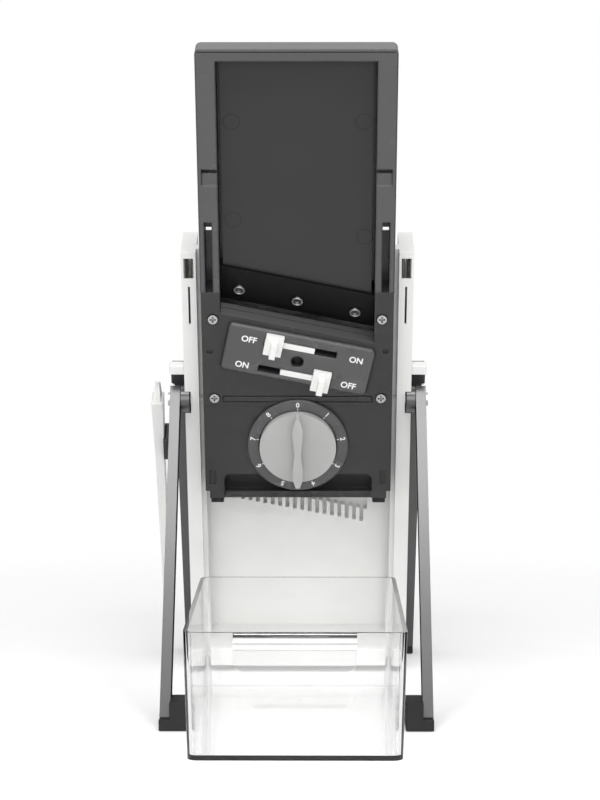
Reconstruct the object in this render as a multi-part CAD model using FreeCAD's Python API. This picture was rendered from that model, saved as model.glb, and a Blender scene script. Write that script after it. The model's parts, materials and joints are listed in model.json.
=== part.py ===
import FreeCAD, Part
import math
import os

# A mandoline slicer on an A-shaped stand, in millimetres.
# World frame: X to the user's right, Y away from the user, Z up, table at Z = 0.
# The origin is the middle of the rear sole on the table.
# Body frame: x to the right, y away from the user square to the body, z up along the leaning body.

# Stance
lean_deg = 22.4
leg_spread_deg = 30.0
hinge_height = 182.0

# Carriage: main sizes
carriage_width = 114.2
carriage_depth = 33.5
cutting_plane = 7.0
column_width = 11.4
stroke = 109.0
slide_gap = 0.5
fit_gap = 0.3
rubber_foot_height = 3.6

# Diagonal pieces: blade, slider plate and comb share one slant and one centre
slant_deg = 12.0
slant_centre_z = 38.0

# Hood, the handle of the carriage
hood_overhang = 0.2
hood_foot = 81.3
hood_top = 230.0
hood_depth = 18.0
hood_lip = 7.0
hood_edge_radius = 5.0
hood_back_thickness = 2.0
recess_depth = 8.0
upper_plate_thickness = 2.5
upper_plate_groove = 1.8
hood_slot_width = 4.3
hood_slot_height = 44.5
hood_slot_inset = 3.0
hood_corner_radius = 3.0
hood_slot_eye = 2.6
hood_slot_eye_drop = 10.0
notch_width = 9.2
notch_height = 7.3
notch_depth = 0.8
notch_foot = 148.7
notch_slit_height = 2.5
notch_slit_depth = 5.0

# Blade group
blade_tilt_deg = 25.7
blade_edge_drop = 5.0
blade_thickness = 1.0
blade_length = 50.0
clamp_thickness = 2.0
clamp_foot = 23.0
clamp_head = 47.6
bed_head = 46.5
blade_screw_inset = 11.2
blade_screw_rise = 10.0
blade_screw_radius = 3.4
blade_screw_socket = 2.1
blade_screw_height = 1.4
guard_thickness = 3.0
guard_top = 165.0
guard_rib_width = 3.0

# Chassis and front covers
chassis_wall = 3.0
cover_thickness = 4.5
cover_foot = 6.5
ramp_foot = 19.8
ramp_rise = 2.6
groove_foot = 8.8
groove_height = 4.5
groove_depth = 1.2
groove_width = 0.7
panel_setback = 1.0
panel_foot = -53.0
column_foot = -58.0
column_foot_width = 9.1
column_foot_depth = 15.0
arch_top = -41.0
arch_sill = 4.5
pocket_depth = 8.0
pocket_wall = 2.0
arch_radius = 4.0
chassis_foot = -59.5
cover_screw_x = 50.3
cover_screw_high = 64.0
cover_screw_low = 11.7
cover_screw_radius = 2.9
cover_screw_height = 1.5
cover_screw_length = 8.0
screw_shank_radius = 1.4
screw_clearance = 0.1
screw_seat_gap = 0.5
cross_length = 3.8
cross_width = 1.0
locating_hole_radius = 1.6
locating_hole_x = 52.6
locating_hole_z = 43.0
clip_window_width = 3.5
clip_window_height = 9.8
clip_window_foot = -48.2
window_depth = 1.2

# Slider plate and sliders
plate_length = 90.0
plate_height = 31.0
plate_rise = 3.0
plate_corner = 3.0
plate_bevel = 1.0
plate_middle = 0.8
slider_middle = -0.6
slider_row = 8.8
slider_slot_length = 44.0
slider_slot_height = 4.2
slider_travel = 13.0
slider_bar_height = 3.6
slider_knob_width = 10.8
slider_knob_height = 13.0
slider_knob_rise = 3.5
slider_knob_offset = 16.2
slider_post_width = 3.6
slider_post_height = 9.0
slider_post_rise = 6.0
slider_post_drop = 1.6
plate_hole_radius = 3.6

# Dial and thickness plate
dial_z = -20.1
dial_ring_radius = 31.0
dial_ring_rise = 2.5
dial_knob_radius = 23.3
dial_knob_thickness = 4.7
dial_seat_gap = 0.3
grip_rise = 8.0
grip_bulge = 3.1
grip_waist = 2.0
grip_tip = 1.1
spindle_radius = 4.0
spindle_clearance = 0.06
spindle_reach = 8.5
boss_radius = 8.0
boss_length = 14.0
thickness_travel = 8.0
thickness_plate_thickness = 2.8
thickness_plate_foot = -50.0
thickness_plate_gap = 1.5
thickness_ramp_height = 18.0

# Julienne combs and the comb of the mouth
tooth_pitch = 4.72
tooth_count = 18
tooth_slot_width = 2.4
tooth_top_drop = 75.4
tooth_depth = 9.6
julienne_travel = 5.4
julienne_blade_thickness = 0.8
julienne_blade_height = 2.4
julienne_slot_gap = 0.4
julienne_bar_thickness = 3.0
julienne_bar_height = 3.2
julienne_first_row = 3.3
julienne_row_pitch = 4.0
julienne_tip_sink = 0.5

# Frame
lip_width = 2.8
lip_setback = 6.0
lip_depth = 7.0
rail_setback = 14.3
rail_width = 8.8
rail_depth = 32.2
rail_wall = 1.6
rail_floor = 4.0
rail_top = 100.8
rail_cap_height = 48.8
cap_window_width = 6.0
cap_window_height = 13.2
cap_window_drop = 3.8
cap_slit_width = 1.2
cap_slit_height = 24.5
cap_slit_drop = 5.0
wall_gap = 1.0
wall_thickness = 4.0
wall_top = 62.0
base_height = 12.7
base_stop_gap = 0.7
base_reach = 10.0
rod_y = 4.5
rod_radius = 1.5
rod_clearance = 0.06
spring_wire = 0.7
spring_gap = 0.3
shoe_thickness = 5.0
shoe_height = 22.0
shoe_foot = 20.0
shoe_gap = 0.4

# Chute and pusher
mouth_half = 43.5
chute_tilt_deg = 30.0
chute_wall = 2.5
chute_floor_z = -66.0
chute_roof_z = 46.0
chute_length = 60.0
chute_rim_width = 4.0
chute_rim_thickness = 3.0
chute_flange_width = 10.0
comb_shield_setback = 0.5
chute_screw_inset = 12.0
chute_screw_skin = 1.0
pusher_gap = 0.8
pusher_standoff = 8.0
pusher_plate_thickness = 4.0
pusher_stem_radius = 15.0
pusher_stem_wall = 2.5
pusher_cap_thickness = 10.0
pusher_cap_radius = 4.0

# Legs
pivot_z = 1.6
front_pivot_y = -7.5
rear_pivot_y = 11.0
pin_radius = 2.5
pin_clearance = 0.06
pin_head_radius = 4.2
pin_head_height = 1.4
leg_width = 13.0
leg_thickness = 6.1
front_leg_gap = 3.0
rear_leg_gap = 1.0
front_leg_head = 6.0
rear_leg_head = 14.3
rear_cap_foot = 6.0
hub_radius = 8.25
hub_sink = 3.2
hub_gap = 0.4
stop_foot = 20.3
stop_height = 6.0
stop_width = 9.0
stop_depth = 7.0
foot_height = 6.5
foot_length = 22.0
foot_toe_height = 16.5
foot_toe_reach = 10.0
sole_height = 5.0
sole_length = 20.0
crossbar_height = 12.0
crossbar_width = 14.0

# Catch tray
tray_front_y = -312.0
tray_depth = 190.8
tray_height = 69.7
tray_width = 120.4
tray_draft = 2.0
tray_wall = 2.4
tray_floor = 2.6
tray_corner = 6.0
lip_pull_width = 66.0
lip_pull_reach = 9.0
lip_pull_drop = 20.0
lip_pull_wall = 2.4
lip_pull_corner = 7.0
lip_pull_radius = 7.8

# Cleaning brush and its clip on the rear left leg
brush_gap = 7.7
brush_thickness = 7.4
brush_neck_thickness = 5.6
brush_tail_thickness = 4.6
brush_width = 14.0
brush_neck_width = 11.0
brush_tail_width = 9.0
brush_head_length = 46.0
brush_top = -2.0
bristle_length = 11.0
bristle_thickness = 4.6
bristle_width = 12.0
brush_length = 168.0
clip_top = 35.0
clip_height = 15.0
clip_wall = 2.0
clip_grip = 1.2
clip_gap = 0.3
clip_hole_radius = 1.3
clip_hole_pitch = 6.0

# Planes of the body that several pieces share
front = cutting_plane - carriage_depth
carriage_half = carriage_width / 2
hood_half = carriage_half + hood_overhang
inner_half = carriage_half - column_width
recess_plane = front + recess_depth
cover_back = front + cover_thickness
panel_front = front + panel_setback
chassis_back = cutting_plane - thickness_plate_thickness - fit_gap
lip_half = carriage_half + slide_gap
rail_inner = lip_half + lip_width
rail_outer = rail_inner + rail_width
rail_front = front + rail_setback
rail_back = rail_front + rail_depth
rail_seam = rail_top - rail_cap_height
wall_front = cutting_plane + wall_gap
wall_back = wall_front + wall_thickness
bumper_foot = column_foot - rubber_foot_height
base_top = bumper_foot - stroke - base_stop_gap
rail_foot = base_top - base_height
front_leg_inner = rail_outer + front_leg_gap
front_leg_outer = front_leg_inner + leg_thickness
rear_leg_inner = rail_outer + rear_leg_gap
rear_leg_outer = rear_leg_inner + leg_thickness
rod_x = (rail_inner + rail_outer) / 2
slope = math.tan(math.radians(slant_deg))
blade_run = math.tan(math.radians(blade_tilt_deg))
screw_hole_radius = screw_shank_radius + screw_clearance
chute_screw_tip = wall_front + chute_screw_skin
edge_v = -blade_edge_drop
edge_z = slant_centre_z + edge_v / math.cos(math.radians(slant_deg))

# Places of the leg pivots in the world
lean = math.radians(lean_deg)
spread = math.tan(math.radians(leg_spread_deg))
rear_pivot_rise = hinge_height + rear_pivot_y * math.sin(lean) + pivot_z * math.cos(lean)
hinge_y = -rear_pivot_rise * spread - rear_pivot_y * math.cos(lean) + pivot_z * math.sin(lean)

FAR = 1000.0
X_AXIS = FreeCAD.Vector(1, 0, 0)
Y_AXIS = FreeCAD.Vector(0, 1, 0)
Z_AXIS = FreeCAD.Vector(0, 0, 1)
CENTRE = FreeCAD.Vector(0, 0, 0)


def point(x, y, z):
    return FreeCAD.Vector(x, y, z)


def block(x, y, z):
    """A box between the low and high value given for each axis."""
    corner = point(x[0], y[0], z[0])
    return Part.makeBox(x[1] - x[0], y[1] - y[0], z[1] - z[0], corner)


def span(middle, size):
    """Low and high end of a size centred on a place."""
    return middle - size / 2, middle + size / 2


def run(start, size):
    """Low and high end of a size that starts at a place."""
    return start, start + size


def prism_x(outline, x):
    """An outline of (y, z) points, extruded from x[0] to x[1]."""
    corners = [point(x[0], y, z) for y, z in outline]
    face = Part.Face(Part.makePolygon(corners + corners[:1]))
    return face.extrude(point(x[1] - x[0], 0, 0))


def prism_y(outline, y):
    """An outline of (x, z) points, extruded from y[0] to y[1]."""
    corners = [point(x, y[0], z) for x, z in outline]
    face = Part.Face(Part.makePolygon(corners + corners[:1]))
    return face.extrude(point(0, y[1] - y[0], 0))


def bar_x(x, y, z, radius):
    return Part.makeCylinder(radius, x[1] - x[0], point(x[0], y, z), X_AXIS)


def bar_y(x, y, z, radius):
    return Part.makeCylinder(radius, y[1] - y[0], point(x, y[0], z), Y_AXIS)


def bar_z(x, y, z, radius):
    return Part.makeCylinder(radius, z[1] - z[0], point(x, y, z[0]), Z_AXIS)


def mirrored(shape):
    return shape.mirror(CENTRE, X_AXIS)


def both_sides(shape):
    return shape.fuse(mirrored(shape))


def group(shapes):
    return Part.makeCompound(shapes)


def edges_along(shape, axis):
    """The straight edges that run parallel to an axis."""
    found = []
    for edge in shape.Edges:
        ends = [vertex.Point for vertex in edge.Vertexes]
        if len(ends) == 2 and (ends[1] - ends[0]).cross(axis).Length < 1e-6:
            found.append(edge)
    return found


def rounded(shape, radius, axis):
    return shape.makeFillet(radius, edges_along(shape, axis))


def slanted(shape):
    """Turns a piece drawn level about the slant centre to the slant of the blade."""
    turned = shape.copy()
    turned.rotate(point(0, 0, slant_centre_z), Y_AXIS, slant_deg)
    return turned


def slanted_prism(outline, half_length):
    """A (y, v) outline, v up from the slant centre, extruded along the slant."""
    level = [(y, slant_centre_z + v) for y, v in outline]
    return slanted(prism_x(level, (-half_length, half_length)))


def slant_z(x, v):
    """Height at x of the slanted line that lies v above the slant centre."""
    return slant_centre_z + v / math.cos(math.radians(slant_deg)) - x * slope


def slant_spot(u, v):
    """Body x and z of a place u along and v above the slant centre."""
    turn = math.radians(slant_deg)
    x = u * math.cos(turn) + v * math.sin(turn)
    z = slant_centre_z - u * math.sin(turn) + v * math.cos(turn)
    return x, z


def between_columns(shape):
    half = inner_half - fit_gap
    return shape.common(block((-half, half), (-FAR, FAR), (-FAR, FAR)))


def in_world(shape):
    """Leans a piece of the body and lifts it to its place on the stand."""
    placed = shape.copy()
    placed.rotate(CENTRE, X_AXIS, lean_deg)
    placed.translate(point(0, hinge_y, hinge_height))
    return placed


def world_spot(y, z):
    """World Y and Z of a place in the body's middle plane."""
    placed_y = hinge_y + y * math.cos(lean) - z * math.sin(lean)
    placed_z = hinge_height + y * math.sin(lean) + z * math.cos(lean)
    return placed_y, placed_z


# Frame

def rail_section(z):
    """Right rail: box section with a guide lip, open toward the carriage for the guide shoe."""
    outer = block((rail_inner, rail_outer), (rail_front, rail_back), z)
    return outer.fuse(guide_lip(z))


def guide_lip(z):
    return block((lip_half, rail_inner), run(rail_front + lip_setback, lip_depth), z)


def rail_cavity(z):
    inside = block((rail_inner + rail_wall, rail_outer - rail_wall),
                   (rail_front + rail_wall, rail_back - rail_wall), z)
    slot = block((lip_half, rail_inner + rail_wall), span(rod_y, shoe_thickness + 2 * shoe_gap), z)
    return inside.fuse(slot)


def rail_right():
    rail = rail_section((rail_foot, rail_seam))
    rail = rail.cut(rail_cavity((rail_foot + rail_floor, rail_seam)))
    rod_seat = (rail_foot + rail_floor / 2, rail_seam)
    rail = rail.cut(bar_z(rod_x, rod_y, rod_seat, rod_radius + rod_clearance))
    hub_inner = rail_outer - hub_sink
    pocket = bar_x((hub_inner - hub_gap, rail_outer), front_pivot_y, pivot_z, hub_radius + hub_gap)
    rail = rail.cut(pocket)
    for pivot_y in (front_pivot_y, rear_pivot_y):
        rail = rail.cut(bar_x((lip_half, rail_outer), pivot_y, pivot_z, pin_radius + pin_clearance))
    return rail


def rail_cap_right():
    cap = rail_section((rail_seam, rail_top))
    cap = cap.cut(rail_cavity((rail_seam, rail_top - rail_floor)))
    cap = cap.cut(bar_z(rod_x, rod_y, (rail_seam, rail_top - rail_floor / 2), rod_radius + rod_clearance))
    window_foot = rail_top - cap_window_drop - cap_window_height
    window = block(span(rod_x, cap_window_width), run(rail_front, rail_wall),
                   run(window_foot, cap_window_height))
    slit = block(span(rod_x, cap_slit_width), run(rail_front, rail_wall),
                 run(window_foot - cap_slit_drop - cap_slit_height, cap_slit_height))
    return cap.cut(window).cut(slit)


def guide_rod_right():
    return bar_z(rod_x, rod_y, (rail_foot + rail_floor / 2, rail_top - rail_floor / 2), rod_radius)


def return_spring_right():
    """The spring stands on the rail's floor and carries the guide shoe."""
    inner = rod_radius + spring_gap
    ends = (rail_foot + rail_floor, shoe_foot)
    return bar_z(rod_x, rod_y, ends, inner + spring_wire).cut(bar_z(rod_x, rod_y, ends, inner))


def tooth_x(index):
    return (index - (tooth_count - 1) / 2) * tooth_pitch


def tooth_top_z(x):
    return -tooth_top_drop - x * slope


def frame_wall():
    """Wall between the rails, with the food mouth and the comb along its lower edge."""
    wall = block((-rail_inner, rail_inner), (wall_front, wall_back), (base_top, wall_top))
    mouth_top = edge_z + wall_gap * 2
    mouth = [(-mouth_half, tooth_top_z(-mouth_half)), (mouth_half, tooth_top_z(mouth_half)),
             (mouth_half, mouth_top - mouth_half * slope), (-mouth_half, mouth_top + mouth_half * slope)]
    wall = wall.cut(prism_y(mouth, (wall_front, wall_back)))
    for index in range(tooth_count):
        x = tooth_x(index)
        top = tooth_top_z(x)
        slot = (top - tooth_depth, top + tooth_slot_width)
        wall = wall.cut(block(span(x, tooth_slot_width), (wall_front, wall_back), slot))
    for x, z in chute_screw_spots():
        wall = wall.cut(bar_y(x, (chute_screw_tip, wall_back), z, screw_hole_radius))
    return wall


def base_bar():
    """Ties the rails together at the foot and stops the carriage."""
    z = (rail_foot, base_top)
    bar = block((-rail_inner, rail_inner), (rail_front - base_reach, wall_back), z)
    return bar.cut(both_sides(guide_lip(z)))


def leg_stop_right():
    return block(run(rail_outer, stop_width), run(rail_front, stop_depth), run(stop_foot, stop_height))


def pivot_pin(pivot_y, leg_outer):
    shank = bar_x((rail_inner, leg_outer), pivot_y, pivot_z, pin_radius)
    head = bar_x((leg_outer, leg_outer + pin_head_height), pivot_y, pivot_z, pin_head_radius)
    return shank.fuse(head)


def pivot_pins(pivot_y, leg_outer):
    pin = pivot_pin(pivot_y, leg_outer)
    return group([pin, mirrored(pin)])


# Chute and pusher

def chute_axes():
    """Directions along the chute and square to its floor, as (y, z)."""
    tilt = math.radians(chute_tilt_deg)
    return (math.cos(tilt), math.sin(tilt)), (-math.sin(tilt), math.cos(tilt))


def chute_spot(along, up):
    """Body y and z of a place along the chute's floor line and square above it."""
    (ay, az), (ny, nz) = chute_axes()
    return wall_back + ay * along + ny * up, chute_floor_z + az * along + nz * up


def chute_height():
    return (chute_roof_z - chute_floor_z) * math.cos(math.radians(chute_tilt_deg))


def chute_lag():
    """How far the roof's start at the wall lies behind the floor's, along the chute."""
    return (chute_roof_z - chute_floor_z) * math.sin(math.radians(chute_tilt_deg))


def chute_outline(start, end, grow):
    """Cross-cut of the chute from the side, between two places along it."""
    high = chute_height() + grow
    corners = ((start, -grow), (end, -grow), (end, high), (start, high))
    return [chute_spot(along, up) for along, up in corners]


def food_chute():
    """Slanted tube behind the mouth, with a flange on the wall and a rim at its outer end."""
    back = chute_height() * 2
    far = (-FAR, FAR)
    end = chute_length + chute_lag()
    outer_half = mouth_half + chute_wall
    tube = prism_x(chute_outline(-back, end, chute_wall), (-outer_half, outer_half))
    rim_half = outer_half + chute_rim_width
    rim = prism_x(chute_outline(end - chute_rim_thickness, end, chute_wall + chute_rim_width),
                  (-rim_half, rim_half))
    flange_half = mouth_half + chute_flange_width
    flange = block((-flange_half, flange_half), run(wall_back, chute_wall),
                   (chute_floor_z - chute_flange_width, chute_roof_z + chute_flange_width))
    tube = tube.fuse(rim).fuse(flange).fuse(comb_shield())
    tube = tube.cut(prism_x(chute_outline(-back, end, 0), (-mouth_half, mouth_half)))
    for x, z in chute_screw_spots():
        tube = tube.cut(bar_y(x, run(wall_back, chute_wall), z, screw_hole_radius))
    return tube.common(block(far, (wall_back, FAR), far))


def comb_shield():
    """Foot of the flange: it closes the slots of the wall's comb from behind."""
    half = mouth_half + chute_wall
    foot = tooth_top_z(mouth_half) - tooth_depth - chute_wall
    return block((-half, half), run(wall_back + comb_shield_setback, chute_wall), (foot, chute_floor_z))


def chute_screw_spots():
    x = mouth_half + (chute_wall + chute_flange_width) / 2
    heights = (chute_floor_z + chute_screw_inset, chute_roof_z - chute_screw_inset)
    return [(side * x, z) for z in heights for side in (-1, 1)]


def chute_screws():
    """Screws that hold the chute's flange on the wall."""
    seat = wall_back + chute_wall
    screws = []
    for x, z in chute_screw_spots():
        head = bar_y(x, run(seat, cover_screw_height), z, cover_screw_radius)
        shank = bar_y(x, (chute_screw_tip, seat), z, screw_shank_radius)
        screws.append(head.fuse(shank))
    return group(screws)


def pusher_plate():
    """Face that follows the food, with the tube that carries the cap."""
    (ay, az), unused_normal = chute_axes()
    end = chute_length + chute_lag()
    half = mouth_half - pusher_gap
    high = chute_height() - pusher_gap
    face_y = wall_back + pusher_standoff
    slab = prism_x([chute_spot(-end, pusher_gap), chute_spot(end, pusher_gap),
                    chute_spot(end, high), chute_spot(-end, high)], (-half, half))
    slab = slab.common(block((-FAR, FAR), run(face_y, pusher_plate_thickness), (-FAR, FAR)))
    middle = chute_spot(0, chute_height() / 2)
    axis = point(0, ay, az)
    start = point(0, middle[0], middle[1])
    outer = Part.makeCylinder(pusher_stem_radius, end, start, axis)
    inner = Part.makeCylinder(pusher_stem_radius - pusher_stem_wall, end, start, axis)
    stem = outer.cut(inner).common(block((-FAR, FAR), (face_y, FAR), (-FAR, FAR)))
    return slab.fuse(stem)


def pusher_cap():
    """Palm cap that rests on the chute's rim."""
    end = chute_length + chute_lag()
    grow = chute_wall + chute_rim_width
    half = mouth_half + grow
    cap = prism_x(chute_outline(end, end + pusher_cap_thickness, grow), (-half, half))
    return rounded(cap, pusher_cap_radius, point(0, *chute_axes()[0]))


# Carriage

def hood():
    """Handle: two side columns and a top bar around the recess, with slots and finger notches."""
    depth = run(front, hood_depth)
    shell = block((-hood_half, hood_half), depth, (hood_foot, hood_top))
    corners = [edge for edge in edges_along(shell, Y_AXIS) if edge.CenterOfMass.z > hood_top - fit_gap]
    shell = shell.makeFillet(hood_corner_radius, corners)
    back_edge = [edge for edge in edges_along(shell, X_AXIS)
                 if edge.CenterOfMass.z > hood_top - fit_gap and edge.CenterOfMass.y > front + fit_gap]
    shell = shell.makeFillet(hood_edge_radius, back_edge)
    shell = shell.cut(block((-inner_half, inner_half), depth, (hood_foot, hood_top - hood_lip)))
    slot = block(hood_slot_x(), depth, run(hood_foot, hood_slot_height))
    notch = block(run(inner_half, notch_width), run(front, notch_depth), run(notch_foot, notch_height))
    slit = block(run(inner_half, notch_width), run(front, notch_slit_depth),
                 run(notch_foot + notch_height, notch_slit_height))
    return shell.cut(both_sides(slot)).cut(both_sides(notch.fuse(slit)))


def hood_slot_x():
    outer = carriage_half - hood_slot_inset
    return outer - hood_slot_width, outer


def hood_back():
    back = front + hood_depth
    cover = block((-hood_half, hood_half), run(back, hood_back_thickness),
                  (hood_foot, hood_top - hood_edge_radius))
    eye_top = hood_foot + hood_slot_height - hood_slot_eye_drop
    eye = block(hood_slot_x(), run(back, hood_back_thickness), (eye_top - hood_slot_eye, eye_top))
    return cover.cut(bed_room()).cut(both_sides(eye))


def bed_room():
    """Space between the columns, up to just above the blade bed."""
    head = bed_head + fit_gap
    room = [(-inner_half, -FAR), (inner_half, -FAR), (inner_half, slant_z(inner_half, head)),
            (-inner_half, slant_z(-inner_half, head))]
    return prism_y(room, (-FAR, FAR))


def upper_plate():
    """Recess floor, cut to the slant of the blade clamp below it."""
    half = inner_half - upper_plate_groove
    seam = clamp_head + fit_gap
    outline = [(-half, slant_z(-half, seam)), (half, slant_z(half, seam)),
               (half, hood_top - hood_lip - fit_gap), (-half, hood_top - hood_lip - fit_gap)]
    plate = prism_y(outline, run(recess_plane, upper_plate_thickness))
    rib_back = front + hood_depth
    rib = block(run(-half, guard_rib_width), (recess_plane + upper_plate_thickness, rib_back),
                (slant_z(-half, seam) + fit_gap, hood_top - hood_lip - fit_gap))
    return plate.fuse(both_sides(rib))


def blade_line(v, offset):
    """Body y of the blade's lower face at height v, moved forward by an offset square to it."""
    forward = offset / math.cos(math.radians(blade_tilt_deg))
    return cutting_plane - (v - edge_v) * blade_run - forward


def blade_strip(low, high, near, far):
    """A slanted strip parallel to the blade, from one offset of its lower face to another."""
    outline = [(blade_line(low, far), low), (blade_line(low, near), low),
               (blade_line(high, near), high), (blade_line(high, far), high)]
    return between_columns(slanted_prism(outline, carriage_half))


def slicing_blade():
    """Ground steel blade: bevelled to its edge on the cutting plane."""
    return blade_strip(edge_v, edge_v + blade_length, 0, blade_thickness).cut(blade_screw_holes(0))


def blade_clamp():
    strip = blade_strip(clamp_foot, clamp_head, blade_thickness, blade_thickness + clamp_thickness)
    return strip.cut(blade_screw_holes(0))


def blade_bed():
    """Wedge behind the blade that takes its screws."""
    back = cutting_plane - guard_thickness - fit_gap
    foot = edge_v + (cutting_plane - back) / blade_run
    outline = [(blade_line(foot, 0), foot), (back, bed_head), (blade_line(bed_head, 0), bed_head)]
    return between_columns(slanted_prism(outline, carriage_half)).cut(blade_screw_holes(screw_clearance))


def blade_screw_spots():
    """Centre and direction of each blade screw, on the front face of the clamp."""
    tilt = math.radians(blade_tilt_deg)
    v = clamp_foot + blade_screw_rise
    y = blade_line(v, blade_thickness + clamp_thickness)
    reach = inner_half - blade_screw_inset
    spots = [point(x, y, slant_z(x, v)) for x in (-reach, 0, reach)]
    turn = math.radians(slant_deg)
    sink = math.sin(tilt)
    direction = point(sink * math.sin(turn), math.cos(tilt), sink * math.cos(turn))
    return spots, direction


def blade_screw_holes(grow):
    spots, direction = blade_screw_spots()
    radius = screw_hole_radius + grow
    length = clamp_thickness + blade_thickness + cover_screw_length
    holes = [Part.makeCylinder(radius, length, spot, direction) for spot in spots]
    return holes[0].multiFuse(holes[1:])


def blade_screws():
    spots, direction = blade_screw_spots()
    screws = []
    shank_length = clamp_thickness + blade_thickness + blade_screw_height
    for spot in spots:
        top = spot - direction * blade_screw_height
        head = Part.makeCylinder(blade_screw_radius, blade_screw_height, top, direction)
        socket = Part.makeCylinder(blade_screw_socket, blade_screw_height / 2, top, direction)
        shank = Part.makeCylinder(screw_shank_radius, shank_length, spot, direction)
        screws.append(head.cut(socket).fuse(shank))
    return group(screws)


def guard_plate():
    """Plate above the blade that holds the food back while the carriage is down."""
    half = inner_half + guard_rib_width
    low = edge_v + blade_thickness
    face_front = cutting_plane - guard_thickness
    lift = guard_thickness / blade_run
    outline = [(cutting_plane, low), (cutting_plane, guard_top * 2), (face_front, guard_top * 2),
               (face_front, low + lift)]
    plate = slanted_prism(outline, carriage_width)
    plate = plate.common(block((-half, half), (-FAR, FAR), (-FAR, guard_top)))
    rib_front = front + hood_depth + hood_back_thickness
    rib = block(run(inner_half, guard_rib_width), (rib_front, face_front), (hood_foot + fit_gap, guard_top))
    return plate.fuse(both_sides(rib))


def cover_screw_spots():
    return [(side * cover_screw_x, z) for z in (cover_screw_low, cover_screw_high) for side in (-1, 1)]


def cover_screw_hole(x, z):
    shank = bar_y(x, run(front, cover_screw_length), z, screw_hole_radius)
    seat = bar_y(x, run(front, cover_screw_height / 2), z, cover_screw_radius + screw_seat_gap)
    return shank.fuse(seat)


def cover_screws():
    screws = []
    for x, z in cover_screw_spots():
        seat = front + cover_screw_height / 2
        top = seat - cover_screw_height
        head = bar_y(x, (top, seat), z, cover_screw_radius)
        sunk = run(top, cover_screw_height / 2)
        cross = block(span(x, cross_length), sunk, span(z, cross_width))
        cross = cross.fuse(block(span(x, cross_width), sunk, span(z, cross_length)))
        shank = bar_y(x, (seat, front + cover_screw_length), z, screw_shank_radius)
        screws.append(head.cut(cross).fuse(shank))
    return group(screws)


def slider_slot(v, length, height, y):
    """A slot through the front covers for one slider, along the slant."""
    return slanted(block(span(0, length), y, span(slant_centre_z + v, height)))


def slider_slots(y):
    slots = [slider_slot(slider_middle + row, slider_slot_length, slider_slot_height, y)
             for row in (slider_row, -slider_row)]
    return slots[0].fuse(slots[1])


def passage_cut(front_y, back_y):
    """Room above the exit ramp, between the columns, where slices leave."""
    rise = ramp_rise / cover_thickness
    outline = [(front_y, ramp_foot + rise * (front_y - front)), (back_y, ramp_foot + rise * (back_y - front)),
               (back_y, FAR), (front_y, FAR)]
    cut = slanted_prism(outline, carriage_width)
    return cut.common(block((-inner_half, inner_half), (-FAR, FAR), (-FAR, FAR)))


def chassis():
    """Inner body: side columns and a front wall, open behind for the thickness plate."""
    body = block((-carriage_half, carriage_half), (cover_back, chassis_back), (panel_foot, hood_foot))
    feet = block(run(inner_half - fit_gap, column_foot_width), run(cover_back, column_foot_depth),
                 (column_foot, panel_foot))
    apron = block((-inner_half, inner_half), run(cover_back, chassis_wall), (chassis_foot, panel_foot))
    body = body.fuse(both_sides(feet)).fuse(apron)
    wall_back_face = cover_back + chassis_wall
    body = body.cut(block((-inner_half, inner_half), (wall_back_face, FAR), (-FAR, FAR)))
    body = body.cut(passage_cut(cover_back, wall_back_face))
    arch_half = inner_half - fit_gap
    body = body.cut(block((-arch_half, arch_half), (cover_back, wall_back_face),
                          (chassis_foot + arch_sill, arch_top)))
    body = body.fuse(arch_pocket(wall_back_face))
    body = body.cut(slider_slots((cover_back, wall_back_face)))
    body = body.cut(bar_y(0, (cover_back, wall_back_face), dial_z, spindle_radius + spindle_clearance))
    for x, z in cover_screw_spots():
        body = body.cut(cover_screw_hole(x, z))
    return body


def arch_pocket(near):
    """Box behind the arch, open to the front."""
    deep = run(near, pocket_depth)
    shell = block((-inner_half, inner_half), deep, (chassis_foot, arch_top + pocket_wall))
    room = block((-inner_half, inner_half), run(near, pocket_depth - pocket_wall),
                 (chassis_foot + pocket_wall, arch_top))
    return shell.cut(room)


def slider_cover():
    """Upper front cover around the sliders, with the exit ramp along its top."""
    cover = block((-carriage_half, carriage_half), (front, cover_back), (cover_foot, hood_foot))
    cover = cover.cut(passage_cut(front, cover_back))
    cover = cover.cut(slider_slots((front, cover_back)))
    hole_x, hole_z = slant_spot(0, slider_middle)
    cover = cover.cut(bar_y(hole_x, (front, cover_back), hole_z, plate_hole_radius))
    half_groove = inner_half - fit_gap
    groove = block((-half_groove, half_groove), run(front, groove_depth), run(groove_foot, groove_height))
    tongue = block((groove_width - half_groove, half_groove - groove_width), run(front, groove_depth),
                   span(groove_foot + groove_height / 2, groove_height - 2 * groove_width))
    cover = cover.cut(groove.cut(tongue))
    spot = bar_y(locating_hole_x, run(front, window_depth), locating_hole_z, locating_hole_radius)
    cover = cover.cut(both_sides(spot))
    cover = cover.cut(bar_y(0, (front, cover_back), dial_z, dial_ring_radius + fit_gap))
    for x, z in cover_screw_spots():
        cover = cover.cut(cover_screw_hole(x, z))
    return cover


def slider_plate():
    """Raised slanted plate that carries the two sliders."""
    plate = block(span(0, plate_length), (front - plate_rise, front),
                  span(slant_centre_z + plate_middle, plate_height))
    plate = rounded(plate, plate_corner, Y_AXIS)
    face = plate.Faces[0]
    for candidate in plate.Faces:
        if candidate.CenterOfMass.y < face.CenterOfMass.y:
            face = candidate
    plate = plate.makeChamfer(plate_bevel, face.Edges)
    plate = slanted(plate).cut(slider_slots((front - plate_rise, front)))
    hole_x, hole_z = slant_spot(0, slider_middle)
    return plate.cut(bar_y(hole_x, (front - plate_rise, front), hole_z, plate_hole_radius))


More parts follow.
